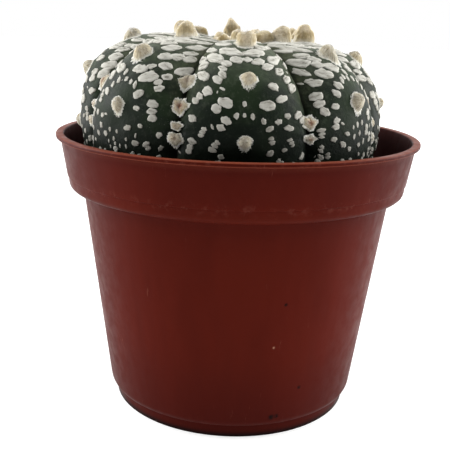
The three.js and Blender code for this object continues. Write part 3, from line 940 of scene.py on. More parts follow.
@dataclass
class StemShape:
    """The form of the stem, which its skin and everything that grows on it share.

    The crest and the groove of a rib are superellipse quarters above the widest level, and a
    place across the rib lies between them by the square of its distance from the crest. Below
    the widest level the ribs run out into a round underbody and a taproot. Lengths are in
    millimetres, in the stem's own frame with the widest level at z = 0. A level is 0 at the growing
    point, 1 at the widest level, and 1 + depth below it.
    """

    centre: tuple[float, float, float] = (-1.42, -0.62, 52.06)
    lean_x: float = 0.034
    lean_y: float = -0.015
    radius: float = 26.6
    crown_height: float = 14.4
    crest_power: tuple[float, float] = (3.64, 2.4)
    groove_power: tuple[float, float] = (2.38, 1.71)
    groove_depth: float = 1.2
    crease_depth: float = 0.8
    crease_start: float = 0.84
    apex_dip: float = 2.6
    apex_dip_radius: float = 7.2
    underbody_depth: float = 20.0
    underbody_power: float = 2.2
    groove_end_depth: float = 16.0
    taproot_radius: float = 6.5
    taproot_depth: float = 33.0
    first_groove: float = -18.0
    rib_widths: tuple[float, ...] = (47, 43, 42, 47, 47, 45, 43, 46)
    first_areoles: tuple[float, ...] = (6.9, 10.2, 2.9, 6.3, 9.8, 3.9, 8.8, 3.4)
    groove_tufts: tuple[int, ...] = (4, 2, 3, 2, 3, 2, 4, 3)
    areole_spacing: float = 9.4
    areole_end: float = 37.5
    tuft_spacing: float = 3.4
    tuft_end: float = 35.2
    seat_height: float = 0.28
    seat_width: float = 1.7
    chin_depth: float = 0.22
    chin_width: float = 1.5
    wave_depth: float = 0.1
    wrinkle_depth: float = 0.12
    flank_angle: float = 0.4
    angle_step: float = 0.015
    length_step: float = 0.3

    def __post_init__(self) -> None:
        """Works out the ribs, the crest's lengths and the same form without its creases."""
        grooves = np.radians(self.first_groove + np.concatenate([[0], np.cumsum(self.rib_widths)]))
        growth = zip(grooves, grooves[1:], self.first_areoles, self.groove_tufts)
        self.ribs = [Rib((a + b) / 2, (b - a) / 2, first, tufts) for a, b, first, tufts in growth]
        self.levels = np.linspace(0, 1, 801)
        r, z = self.upper_line(self.levels, self.radius, self.crest_power)
        self.lengths = np.concatenate([[0], np.cumsum(np.hypot(np.diff(r), np.diff(z)))])
        self.crest_length = float(self.lengths[-1])
        self.smooth = replace(self, crease_depth=0.0) if self.crease_depth else self

    def upper_line(self, level: Array, radius: float, power: tuple[float, float]) -> tuple[Array, Array]:
        """A crest or groove line above the widest level.

        Its radius is R sin(a)^(2/p) and its height H cos(a)^(2/q), with a the level's share of a
        right angle, less a bell-shaped dip at the growing point.

        Args:
            level: The levels.
            radius: Its radius at the widest level.
            power: The two powers p and q.

        Returns:
            Radii and heights.
        """
        angle = np.clip(level, 0, 1) * np.pi / 2
        r = radius * np.sin(angle) ** (2 / power[0])
        dip = self.apex_dip * bell(r, self.apex_dip_radius)
        return r, self.crown_height * np.clip(np.cos(angle), 0, 1) ** (2 / power[1]) - dip

    def under_radius(self, depth: Array | float) -> Array:
        """Radius of the underbody or the taproot, whichever is larger.

        The underbody is a superellipse quarter, (1 - d^p)^(1/p) with d the share of its depth.

        Args:
            depth: Depth below the widest level.

        Returns:
            The radius.
        """
        share = 1 - np.clip(depth / self.underbody_depth, 0, 1) ** self.underbody_power
        body = self.radius * share ** (1 / self.underbody_power)
        root = self.taproot_radius * np.clip(1 - depth / self.taproot_depth, 0, 1) ** 0.8
        return np.maximum(body, root)

    def level_at(self, length: Array) -> Array:
        """The level at a length."""
        return np.interp(length, self.lengths, self.levels) + np.maximum(length - self.crest_length, 0)

    def point(self, middle: Array, half: Array, across: Array, level: Array) -> Array:
        """A point of the bare skin.

        Args:
            middle: Angle of the rib's crest.
            half: Half the rib's angle.
            across: 0 on the crest, -1 and 1 in the grooves.
            level: The level.

        Returns:
            Array (..., 3) in the stem's own frame.
        """
        share = np.clip(np.abs(across), 0, 1) ** 2
        crease = self.crease_depth * ramp(np.abs(across), self.crease_start, 1 - self.crease_start) ** 1.5
        crest_r, crest_z = self.upper_line(level, self.radius, self.crest_power)
        groove_r, groove_z = self.upper_line(level, self.radius - self.groove_depth, self.groove_power)
        upper_r = crest_r * (1 - share) + groove_r * share - crease * np.minimum(1, level * 2)
        upper_z = crest_z * (1 - share) + groove_z * share
        depth = np.maximum(level - 1, 0)
        fade = np.clip(1 - depth / self.groove_end_depth, 0, 1)
        lower_r = self.under_radius(depth) - (self.groove_depth * share + crease) * fade
        r, z = np.where(level <= 1, upper_r, lower_r), np.where(level <= 1, upper_z, -depth)
        return from_front(r, middle + half * across, z)

    def places(self, middle: Array, half: Array, sideways: Array, length: Array) -> Places:
        """Places on the bare skin, with directions between points a little apart on it.

        Args:
            middle: Angle of the rib's crest.
            half: Half the rib's angle.
            sideways: The sideways distances.
            length: The lengths.

        Returns:
            The places, in the stem's own frame.
        """
        level = self.level_at(length)
        crest = self.point(middle, half, np.zeros_like(sideways), level)
        across = np.clip(sideways / (np.hypot(crest[..., 0], crest[..., 1]) * half), -0.98, 0.98)
        here, right, left = (
            self.point(middle, half, across + step, level) for step in (0, self.angle_step, -self.angle_step)
        )
        upper = self.level_at(np.maximum(length - self.length_step, 0))
        lower = self.level_at(length + self.length_step)
        down = self.point(middle, half, across, lower) - self.point(middle, half, across, upper)
        return Places(here, outward(right - left, down))

    def relief(self, rib: Rib, across: Array, sideways: Array, length: Array) -> Array:
        """How far the skin stands out from the bare form.

        A bell-shaped seat lies under each areole and a shallow hollow below it. Two long waves
        run down the rib, and short wrinkles cross it near the grooves.

        Args:
            rib: The rib.
            across: 0 on the crest, -1 and 1 in the grooves.
            sideways: The sideways distances.
            length: The lengths.

        Returns:
            Array of heights.
        """
        total = np.zeros_like(across * length)
        for areole in self.areoles(rib):
            near = sideways**2 + (length - areole) ** 2
            below = sideways**2 + ((length - areole - 3.0) / 1.4) ** 2
            total += self.seat_height * np.exp(-near / self.seat_width**2)
            total -= self.chin_depth * np.exp(-below / self.chin_width**2)
        phase = rib.middle * 7
        total += self.wave_depth * np.sin(length / 2.9 + phase) * np.cos(across * 2 + phase)
        edge = ramp(np.abs(across), 0.6, 0.4) ** 2 * ramp(length, 8, 10)
        total += self.wrinkle_depth * edge * np.sin(length * 2.1 + 3 * np.sin(length * 0.37 + phase))
        return total * (1 - ramp(np.abs(across), 0.93, 0.07)) * ramp(length, 2, 4)

    def skin(self, rib: Rib, sideways: Array, length: Array) -> Places:
        """Places on the finished skin of one rib, which its relief lifts off the bare form.

        Args:
            rib: The rib.
            sideways: The sideways distances.
            length: The lengths.

        Returns:
            The places, in the stem's own frame.
        """
        middle, half = np.full_like(length, rib.middle), np.full_like(length, rib.half)
        spots = self.places(middle, half, sideways, length)
        across = np.clip(sideways / self.half_width(rib, length), -1, 1)
        spots.here = spots.here + spots.out * self.relief(rib, across, sideways, length)[..., None]
        return spots

    def groove_floor(self, angle: Array, sideways: Array, length: Array) -> Array:
        """Points over a groove, on the two rib flanks as they would meet without the sharp crease.

        Args:
            angle: Angle of the groove.
            sideways: Distance from the groove.
            length: The lengths along the neighbouring crest.

        Returns:
            The points, in the stem's own frame.
        """
        level = self.level_at(length)
        half = np.full_like(sideways, self.flank_angle)
        edge = self.smooth.point(angle - half, half, np.ones_like(sideways), level)
        toward = np.where(sideways < 0, -1.0, 1.0)
        across = -toward * (1 - np.abs(sideways) / (np.hypot(edge[..., 0], edge[..., 1]) * half))
        return self.smooth.point(angle + toward * half, half, across, level)

    def groove_out(self, angle: Array, length: Array) -> Array:
        """Outward directions of places in the bottom of a groove.

        Args:
            angle: Angle of the groove, once for each place.
            length: The lengths along the neighbouring crest.

        Returns:
            The directions, in the stem's own frame.
        """
        half, edge = np.full_like(angle, self.flank_angle), np.ones_like(angle)
        above, below = (
            self.point(angle - self.flank_angle, half, edge, self.level_at(length + step))
            for step in (-self.length_step, self.length_step)
        )
        return outward(stacked(np.cos(angle), np.sin(angle), 0), below - above)

    def areoles(self, rib: Rib) -> Array:
        """Lengths of a rib's areoles."""
        return np.arange(rib.first_areole, self.areole_end, self.areole_spacing)

    def groove_lengths(self, rib: Rib) -> Array:
        """Lengths of the small tufts in the groove on a rib's -X side."""
        index = np.arange(rib.groove_tufts)
        return self.tuft_end - self.tuft_spacing * index + np.sin(7 * index + 5 * rib.middle)

    def half_width(self, rib: Rib, length: Array) -> Array:
        """Distance from a rib's crest to its groove, along the skin."""
        crest = self.point(rib.middle, rib.half, 0.0, self.level_at(np.maximum(length, 0.5)))
        return np.hypot(crest[..., 0], crest[..., 1]) * rib.half

    def to_part(self, points: Array) -> Array:
        """Takes points from the stem's own frame to the part's: leant a little and off centre."""
        turn = Matrix.Rotation(-self.lean_y, 3, "X") @ Matrix.Rotation(self.lean_x, 3, "Y")
        return points @ np.array(turn).T + np.array(self.centre)


@dataclass
class Skin:
    """The bare skin of the stem, with its creases, areole seats and faint waves."""

    shape: StemShape
    rib_columns: int = 44
    upper_rows: int = 120
    lower_rows: int = 60
    finish: StemSkin = field(default_factory=StemSkin)

    def on_rib(self, rib: Rib, across: Array, length: Array) -> Array:
        """The grid of points on one rib: the bare form lifted by its relief.

        Args:
            rib: The rib.
            across: Shares of its half width, one for each column.
            length: Lengths, one for each row.

        Returns:
            Array (rows, columns, 3) in the stem's own frame.
        """
        shape = self.shape
        level = shape.level_at(length)
        middle, half = np.full_like(across, rib.middle), np.full_like(across, rib.half)
        crest_radius = np.linalg.norm(shape.point(rib.middle, rib.half, 0 * level, level)[..., :2], axis=-1)
        inner = np.clip(across, -0.96, 0.96)
        out = shape.places(middle, half, inner * rib.half * crest_radius, length + 0 * across).out
        lift = shape.relief(rib, across, across * rib.half * crest_radius, length)
        return shape.point(middle, half, across, level) + out * lift[..., None]

    def build(self) -> None:
        """Builds the skin as one closed grid from the growing point to the taproot's tip."""
        shape = self.shape
        upper = np.linspace(0, shape.crest_length, self.upper_rows + 1)[1:]
        lower = shape.crest_length + np.linspace(0, shape.taproot_depth - 0.6, self.lower_rows + 1)[1:]
        length = np.concatenate([[0.15], upper, lower])[:, None]
        bias = np.linspace(-1, 1, self.rib_columns, endpoint=False)
        across = (np.sin(bias * np.pi / 2) * 0.6 + bias * 0.4)[None, :]
        grid = np.concatenate([self.on_rib(rib, across, length) for rib in shape.ribs], axis=1)
        poles = [[0, 0, shape.crown_height - shape.apex_dip], [0, 0, -shape.taproot_depth]]
        points, faces = closed_grid(grid, poles)
        on_one_rib = {
            # Painted light towards the crown: full within 14 mm of the growing point, gone by 28 mm.
            "crown_light_share": ramp(length, 28, -14) ** 1.3 * np.ones_like(across),
            # Painted shade low on the stem, from 26 mm down the rib, weaker towards the grooves.
            "low": 0.85 * ramp(length, 26, 10) * (1 - 0.4 * across**2),
            # Painted light in the grooves, full to 18 mm down the rib and gone by 30 mm.
            "groove_light_share": ramp(np.abs(across), 0.6, 0.3) * ramp(length, 30, -12),
            # Painted shade in the creases, growing from 17 mm down the rib.
            "crease_shade_share": ramp(np.abs(across), 0.95, 0.05) * ramp(length, 17, 9),
        }
        count = len(shape.ribs)
        values = {name: np.append(np.tile(block, (1, count)), [0, 0]) for name, block in on_one_rib.items()}
        surface = Surface(shape.to_part(points), faces, values)
        hand_over(make_piece("stem_body", surface, self.finish.make()), Slot.STEM, "stem")


# --- What grows on the skin --------------------


@dataclass
class Fleck:
    """One fleck on the flat chart of a rib.

    Attributes:
        sideways: Its sideways distance.
        length: Its length from the growing point.
        radius: Mean radius.
        turn: Angle of its long axis from the sideways direction.
        stretch: How much longer than round it is.
    """

    sideways: float
    length: float
    radius: float
    turn: float
    stretch: float


@dataclass(frozen=True)
class Arc:
    """An arc of flecks above an areole: how far it lies beside it and above, its end and its flecks' size.

    The end is an angle from straight up, and the size is over that of other flecks.
    """

    beside: float
    above: float
    end: float
    size: float


@dataclass
class Flecks:
    """The white flecks: thin pads of pressed hairs, in arcs round the areoles and between them.

    Round each areole the skin is bare. Above it lie arcs of flecks that touch, and the rest of the
    rib is scattered with them, mostly lying across it, some stacked in twos and threes. Near the
    crown they are larger and run together, and low down they are small. Right under an areole
    there are only a few small ones, which stand upright. radius_at and room_at are pairs of a
    length and what holds there: the flecks' radius, and the least distance between two in sums of
    their radii. rings are the share of the outline and of the height at each ring of a fleck.
    """

    shape: StemShape
    arcs: tuple[Arc, ...] = (Arc(4.3, 3.9, 1.15, 0.95), Arc(6.7, 6.3, 0.85, 1.3))
    radius_at: tuple[tuple[float, float], ...] = (
        (8.0, 1.2), (17.0, 1.3), (22.0, 0.98), (27.0, 0.84), (33.0, 0.66), (38.0, 0.48),
    )
    room_at: tuple[tuple[float, float], ...] = (
        (16.0, 0.88), (22.0, 1.04), (27.0, 1.26), (31.0, 1.6), (40.0, 1.75),
    )
    rib_room: tuple[float, ...] = (1.0, 0.8, 0.88, 1.0, 0.92, 0.96, 0.9, 0.86)
    rings: tuple[tuple[float, float], ...] = ((1.0, -0.3), (0.95, 0.8), (0.7, 1.0))
    middle_height: float = 0.9
    arc_room: float = 0.7
    stack_room: float = 0.68
    speck_room: float = 1.3
    bare_radius: float = 3.45
    height: float = 0.13
    stacked: float = 0.42
    tries: int = 1500
    specks: int = 26
    bare_from: float = 18.0
    first: float = 3.8
    lowest: float = -10.0
    sides: int = 18
    seed: int = 20
    finish: FleckHair = field(default_factory=FleckHair)

    def on_rib(self, index: int, random: Random) -> list[Fleck]:
        """Lays out the flecks of one rib.

        Args:
            index: Number of the rib.
            random: The source of the scatter.

        Returns:
            Its flecks.
        """
        shape = self.shape
        rib, after = shape.ribs[index], shape.ribs[(index + 1) % len(shape.ribs)]
        areoles = shape.areoles(rib)
        taken = [Fleck(0.0, length, 1.7, 0, 1) for length in areoles]
        for side, lengths in ((-1, shape.groove_lengths(rib)), (1, shape.groove_lengths(after))):
            taken += [Fleck(side * float(shape.half_width(rib, l)), l, 1.0, 0, 1) for l in lengths]
        bare = len(taken)
        for arc in self.arcs:
            for areole in areoles:
                self.lay_arc(rib, areole, arc, random, taken)
        self.scatter(rib, self.rib_room[index], random, taken)
        for _ in range(self.specks):
            length = random.uniform(23, shape.crest_length - self.lowest)
            room = float(shape.half_width(rib, length))
            sideways, radius, turn = (random.uniform(*ends) for ends in ((-room, room), (0.12, 0.3), (0, 3)))
            self.add(rib, Fleck(sideways, length, radius, turn, 1.5), self.speck_room, taken)
        return taken[bare:]

    def lay_arc(self, rib: Rib, areole: float, arc: Arc, random: Random, taken: list[Fleck]) -> None:
        """Lays the flecks of one arc above an areole, each touching the one before.

        Args:
            rib: The rib.
            areole: The areole's length.
            arc: The arc.
            random: The source of the scatter.
            taken: What already lies on the rib; the new flecks are added to it.
        """
        angle = random.uniform(-0.1, 0.2) - arc.end
        while angle < arc.end:
            reach = 1 / np.hypot(np.cos(angle) / arc.above, np.sin(angle) / arc.beside)
            reach += random.uniform(-0.15, 0.15)
            fleck = self.fleck_at(reach * np.sin(angle), areole - reach * np.cos(angle), random)
            fleck.turn = -0.5 * angle + random.uniform(-0.2, 0.2)
            fleck.radius *= arc.size
            angle += 2 * fleck.radius * fleck.stretch / reach * random.uniform(0.8, 1.08)
            self.add(rib, fleck, self.arc_room, taken)

    def scatter(self, rib: Rib, room: float, random: Random, taken: list[Fleck]) -> None:
        """Scatters flecks over the rest of a rib, some of them stacked.

        Args:
            rib: The rib.
            room: How much room its flecks take above the flanks, beside those of other ribs.
            random: The source of the scatter.
            taken: What already lies on the rib; the new flecks are added to it.
        """
        shape = self.shape
        lengths = random.uniform(self.first, shape.crest_length - self.lowest, self.tries)
        sides = random.uniform(-1, 1, self.tries) * shape.half_width(rib, lengths)
        for sideways, length in zip(sides, lengths):
            fleck = self.fleck_at(float(sideways), float(length), random)
            own_room = np.interp(length, (24, 31), (room, 1))
            if not self.add(rib, fleck, np.interp(length, *np.array(self.room_at).T) * own_room, taken):
                continue
            heading = random.choice((-1, 1))
            for _ in range(2):
                if random.random() > self.stacked or abs(np.sin(fleck.turn)) > 0.7:
                    break
                away = heading * random.uniform(1.5, 1.9) * fleck.radius / fleck.stretch
                turn = fleck.turn + random.uniform(-0.2, 0.2)
                place = (fleck.sideways - away * np.sin(turn), fleck.length + away * np.cos(turn))
                fleck = Fleck(*place, fleck.radius * random.uniform(0.8, 1.05), turn, fleck.stretch)
                if not self.add(rib, fleck, self.stack_room, taken):
                    break

    def fleck_at(self, sideways: float, length: float, random: Random) -> Fleck:
        """Makes a fleck of the size that belongs to its place.

        Args:
            sideways: Its sideways distance.
            length: Its length from the growing point.
            random: The source of its differences.

        Returns:
            The fleck.
        """
        size = float(np.interp(length, *np.array(self.radius_at).T)) * random.uniform(0.72, 1.14)
        stretch = random.uniform(1.04, 1.3) + 0.12 * ramp(length, 20, -4)
        slant = -0.05 * sideways * ramp(length, 18, 6)
        return Fleck(sideways, length, size, slant + random.uniform(-0.45, 0.45), stretch)

    def add(self, rib: Rib, fleck: Fleck, closeness: float, taken: list[Fleck]) -> bool:
        """Adds a fleck to those of a rib if it lies on the rib and doesn't crowd them.

        Args:
            rib: The rib.
            fleck: The fleck.
            closeness: Least distance to another one, in sums of their radii.
            taken: What already lies on the rib.

        Returns:
            True if it was added.
        """
        shape = self.shape
        if not self.first < fleck.length < shape.crest_length - self.lowest:
            return False
        if abs(fleck.sideways) > shape.half_width(rib, fleck.length) - 0.75 * fleck.radius - 0.3:
            return False
        for areole in shape.areoles(rib):
            below, flank = fleck.length - areole, areole > self.bare_from
            clear = self.bare_radius - (0 if flank else 1.1 * ramp(below, 0, 2))
            if np.hypot(fleck.sideways, below) < clear:
                return False
            if flank and 0 < below < 7 and abs(fleck.sideways) < 0.42 * below:
                fleck.radius *= 0.62
                fleck.turn = np.pi / 2 + 0.5 * fleck.turn
        for other in taken:
            apart = np.hypot(other.sideways - fleck.sideways, other.length - fleck.length)
            if apart < closeness * (other.radius + fleck.radius):
                return False
        taken.append(fleck)
        return True

    def outlines(self, flecks: Array, random: Random) -> Array:
        """The flecks' outlines.

        An outline lies between an oval and a many-sided figure of the same length and breadth,
        waved by three slow waves, with its ends drawn out to points and a fine unevenness.

        Args:
            flecks: The five numbers of each fleck, (5, flecks, 1).
            random: The source of the waves.

        Returns:
            Radii (flecks, sides).
        """
        radius, turn, stretch = flecks[2:]
        n, angle = len(radius), turns(self.sides)
        along = angle - turn
        oval = 1 / np.sqrt((np.cos(along) / stretch) ** 2 + (np.sin(along) * stretch) ** 2)
        phase = random.uniform(0, FULL_TURN, (3, n, 1))
        depth = random.uniform(0.01, 0.08, (3, n, 1))
        wave = sum(depth[k] * np.cos((k + 3) * angle + phase[k]) for k in range(3))
        wedge = FULL_TURN / random.integers(4, 7, (n, 1))
        facet = np.cos(wedge / 2) / np.cos(np.mod(along + phase[0], wedge) - wedge / 2)
        ends = random.uniform(0, 0.38, (2, n, 1)) ** 1.4
        point = ends[0] * np.maximum(0, np.cos(along)) ** 6 + ends[1] * np.maximum(0, -np.cos(along)) ** 6
        ragged = 1 + wave + point + random.normal(0, 0.065, (n, self.sides))
        return radius * oval * (0.35 + 0.65 * facet) * 1.07 * ragged

    def on_skin(self, owners: Array, sideways: Array, length: Array, lift: Array) -> Array:
        """Points of the flecks, lifted off the skin.

        Args:
            owners: Number of each fleck's rib.
            sideways: Sideways distances of its points, one row or block for each fleck.
            length: Their lengths from the growing point.
            lift: Their heights over the skin.

        Returns:
            The points, in the stem's own frame.
        """
        points = np.empty((*lift.shape, 3))
        for number, rib in enumerate(self.shape.ribs):
            mine = owners == number
            skin = self.shape.skin(rib, sideways[mine], length[mine])
            points[mine] = skin.here + skin.out * lift[mine][..., None]
        return points

    def faces(self, n: int) -> list[Array]:
        """Faces of a number of flecks: the rings, the top round its middle and the underside."""
        strips, under, top, middles = grids(n, len(self.rings), self.sides)
        return [strips, cap_faces(top, middles), under[:, ::-1]]

    def build(self) -> None:
        """Builds all the flecks as one piece.

        A fleck rises steeply from just below the skin at its outline to its flat top, which dips
        a little in the middle, and it follows the skin under it.
        """
        shape, sides = self.shape, self.sides
        random = np.random.default_rng(self.seed)
        lists = [self.on_rib(index, random) for index in range(len(shape.ribs))]
        owners = np.repeat(np.arange(len(lists)), [len(rib) for rib in lists])
        flecks = np.array([astuple(fleck) for rib in lists for fleck in rib]).T[..., None]
        outline, angle, n = self.outlines(flecks, random), turns(sides), len(owners)
        sideways, length, radius, turn = flecks[:4]
        height = self.height * random.uniform(0.8, 1.25, n) * np.clip(radius[:, 0] / 0.6, 0.5, 1.2)
        share, level = np.array(self.rings).T[:, None, :, None]
        reach = outline[:, None, :] * share
        lift = level * height[:, None, None] + 0 * reach
        x, y = sideways[..., None] + reach * np.cos(angle), length[..., None] + reach * np.sin(angle)
        rings = self.on_skin(owners, x, y, lift)
        poles = self.on_skin(owners, sideways[:, 0], length[:, 0], height * self.middle_height)
        along = (angle - turn)[:, None]
        local = around_z(reach, along) + random.uniform(0, 60, (n, 1, 1, 2))
        flat = np.concatenate([local.reshape(-1, 2), local[:, -1].mean(axis=1)])
        # Greyer with age and painted shade, growing from 18 mm down the rib.
        shade = ramp(length[:, 0], 18, 19) ** 1.3
        shades = np.append(np.repeat(shade, len(self.rings) * sides), shade)
        values = {"rim": np.append(share + 0 * reach, np.zeros(n)), "shade": shades}
        points = shape.to_part(np.concatenate([rings.reshape(-1, 3), poles]))
        surface = Surface(points, self.faces(n), values, flat)
        hand_over(make_piece("stem_flecks", surface, self.finish.make()), Slot.STEM)
        LOG.info("flecks: %d", n)


@dataclass(frozen=True)
class TuftForm:
    """How the tufts of one kind look.

    Attributes:
        sizes: Least and greatest radius of the dome.
        rise: Height over radius.
        skirt: How far the pale skirt reaches beyond the dome, over the radius.
        tip: How far the outline is drawn out down the rib.
        corners: How far it is drawn out sideways.
        star: Depth of the notches of a ragged star.
        jag: Depth of the fine points along the edge.
        lump: Depth of the slow lumps.
        youth: 1 for tan young wool, 0 for grey old wool.
        hairs: Hairs on each tuft.
        rows: Rows of its mesh.
        sides: Points in a row.
        seed: Seed of everything uneven about them.
    """

    sizes: tuple[float, float]
    rise: float
    skirt: float
    tip: float
    corners: float
    star: float
    jag: float
    lump: float
    youth: float
    hairs: int
    rows: int
    sides: int
    seed: int


FORMS = {
    TuftKind.CROWN: TuftForm((1.18, 1.65), 1.34, 0.4, 0.03, 0.03, 0.0, 0.2, 0.09, 1.0, 120, 28, 60, 79586),
    TuftKind.FLANK: TuftForm((0.68, 1.06), 0.8, 0.26, 1.0, 0.4, 0.0, 0.22, 0.08, 0.3, 150, 22, 66, 20413),
    TuftKind.GROOVE: TuftForm((0.6, 0.92), 0.5, 0.4, 0.15, 0.2, 0.24, 0.46, 0.06, 0.35, 70, 16, 54, 10981),
}


@dataclass
class Seats:
    """Where tufts grow: one row of numbers for each tuft.

    Attributes:
        rib: Number of the rib; in a groove, of the rib on its +X side.
        sideways: Sideways distance.
        length: Length from the growing point.
        size: The dome's radius.
        rise: Its height over its radius.
    """

    rib: Array
    sideways: Array
    length: Array
    size: Array
    rise: Array


@dataclass
class Tufts:
    """Woolly tufts: rounded lumps of matted wool with a ragged skirt and loose hairs.

    A tuft is a dome on the skin, with a thin skirt round it that lies on the skin. Its outline is
    drawn out to a split point down the rib and to corners at its sides, and its edge is ragged.
    """

    shape: StemShape
    kind: TuftKind
    hair_radius: float = 0.036
    taper: float = 0.75
    spikes: int = 20
    crown_end: float = 17.0
    twin_from: float = 9.0
    twin_away: float = -2.3
    twin_size: float = 0.78
    dome_share: float = 0.7
    fall_end: float = 1.16
    noise_gap: float = 17.3
    thread_gap: float = 9.1

    def seats(self, random: Random) -> Seats:
        """Where the tufts grow, and their sizes. The upper ones are larger and stand higher.

        Some of the crown's tufts are double: a smaller lump leans on them from the -X side.

        Args:
            random: The source of their scatter.

        Returns:
            The seats.
        """
        form, groove, young = FORMS[self.kind], self.kind is TuftKind.GROOVE, self.kind is TuftKind.CROWN
        lengths = self.shape.groove_lengths if groove else self.shape.areoles
        rows = [(i, 0.0, l, 1.0) for i, rib in enumerate(self.shape.ribs) for l in lengths(rib)]
        if not groove:
            rows = [row for row in rows if (row[2] < self.crown_end) == young]
        if young:
            twins = [(i, l) for i, _, l, _ in rows if i % 2 and l > self.twin_from]
            rows += [(i, self.twin_away, l - 0.5, self.twin_size) for i, l in twins]
        rib, sideways, length, share = np.array(rows).T
        sideways = sideways + random.uniform(-0.25, 0.25, len(rows)) * (not groove)
        upper = ramp(length, 32, -12) * (self.kind is TuftKind.FLANK)
        size = share * random.uniform(*form.sizes, len(rows)) * (1 + 0.35 * upper)
        return Seats(rib.astype(int), sideways, length, size, form.rise * (1 + 0.3 * upper))

    def lumps(self, seats: Seats, random: Random) -> Surface:
        """The bodies of the tufts.

        A tuft is a dome, sine by cosine of its share of a right angle, whose foot runs out into
        a thin skirt and then turns down under the skin. It is uneven in lumps and combed threads.

        Args:
            seats: Where they grow.
            random: The source of their lumps.

        Returns:
            One surface with all of them.
        """
        form, size, n = FORMS[self.kind], seats.size, len(seats.size)
        fall = np.linspace(0, self.fall_end, form.rows + 1)[1:, None]
        around = turns(form.sides)
        phase = random.uniform(0, FULL_TURN, (4, n, 1, 1))
        dome = np.minimum(fall / self.dome_share, 1) * np.pi / 2
        spread = ramp(fall, 0.5, 0.5) ** 1.4
        width = np.sin(dome) ** (0.92 - 0.14 * form.youth) + form.skirt * spread - 0.3 * ramp(fall, 1, 1)
        edge = self.outline(form, around, phase, random) * ramp(fall, 0.3, 0.6) ** 1.5
        reach = size[:, None, None] * (width * (1 + 0.05 * np.cos(2 * around + phase[3])) + edge)
        up = (size * seats.rise)[:, None, None] * np.cos(dome) ** (0.87 - 0.3 * form.youth)
        up = up + 0.1 * (1 - spread) - 1.6 * ramp(fall, 0.98, 1)
        local = around_z(reach, around, up)
        local = local * (1 + self.swell(local, fall, around) * np.clip(1.5 - fall, 0.2, 1))[..., None]
        zero = 0 * size[:, None]
        places = [local[..., 0], local[..., 1], local[..., 2]]
        tops, feet = local[:, 0, :, 2].mean(axis=1)[:, None] * 1.01, -0.5 * size[:, None]
        parts = [places, (zero, zero, tops), (zero, zero, feet)]
        points = np.concatenate([self.in_place(seats, *part).reshape(-1, 3) for part in parts])
        ones = np.ones_like(reach)
        heart = 0 * ones
        if self.kind is TuftKind.GROOVE:
            heart = bell(fall, 0.3) * random.uniform(0.15, 1, (n, 1, 1)) * ones
        age = np.clip(form.youth + random.uniform(-0.2, 0.2, n), 0, 1)
        values = {
            "fall": np.concatenate([(fall * ones).ravel(), np.zeros(n), np.ones(n)]),
            "heart": np.concatenate([heart.ravel(), heart[:, 0, 0], np.zeros(n)]),
            "youth": np.concatenate([np.repeat(age, form.rows * form.sides), age, age]),
        }
        offset = random.uniform(0, 60, (n, 2))
        flat = around_z(4 + 0.9 * fall, around) + offset[:, None, None]
        flat = np.concatenate([flat.reshape(-1, 2), offset + 4, offset + 4])
        return Surface(points, self.lump_faces(n), values, flat)

    def swell(self, local: Array, fall: Array, around: Array) -> Array:
        """How much the tufts swell: slow and finer lumps, combed threads and a fine grain.

        Args:
            local: Points of the smooth tufts, (tufts, rows, sides, 3).
            fall: How far down the tuft a row lies, 0 at its top.
            around: The angles of a row's points.

        Returns:
            Shares of the size, (tufts, rows, sides).
        """
        form, number = FORMS[self.kind], np.arange(len(local))[:, None, None]
        own = local + number[..., None] * self.noise_gap
        threads = around_z(3.2, around, 0.8 * fall + number * self.thread_gap)
        slow = form.lump * 2 * ripple(own, 2.6, form.seed)
        lumps = slow + form.lump * 0.6 * ripple(own, 1.1, form.seed + 1)
        combed = 0.05 * (1 - 0.6 * form.youth) * ripple(threads, 0.9, form.seed + 3)
        return lumps + combed + 0.02 * ripple(own, 0.4, form.seed + 4)

    def lump_faces(self, n: int) -> list[Array]:
        """Faces of a number of tufts: the rows, the top and the foot."""
        strips, top, foot, poles = grids(n, FORMS[self.kind].rows, FORMS[self.kind].sides)
        return [strips, cap_faces(top, poles), cap_faces(foot, poles + n)[:, [1, 0, 2]]]

    def outline(self, form: TuftForm, around: Array, phase: Array, random: Random) -> Array:
        """How far the skirt's edge stands out beyond a circle, over the radius.

        A split tip points down the rib, corners stand out sideways, two waves make a star, and
        short and long points take turns along the edge.

        Args:
            form: The tufts' form.
            around: The angles of the edge's points.
            phase: Random angles, (4, tufts, 1, 1).
            random: The source of the points.

        Returns:
            Array (tufts, 1, angles).
        """
        lean = 0.25 * np.cos(phase[0])
        tip = form.tip * np.maximum(0, np.cos(around + lean)) ** 4 * (1 - 0.35 * np.cos(10 * around) ** 6)
        corner = form.corners * np.abs(np.sin(around + lean)) ** 9
        star = form.star * (np.cos(3 * around + phase[1]) * 0.3 + np.cos(5 * around + phase[2]) * 0.85)
        count = 2 * self.spikes
        heights = random.uniform(0.2, 1, (len(phase[0]), count)) * (np.arange(count) % 2)
        place = around / FULL_TURN * count
        before, share = place.astype(int) % count, place - np.floor(place)
        spiky = heights[:, before] * (1 - share) + heights[:, (before + 1) % count] * share
        return tip + corner + star + form.jag * spiky[:, None, :]

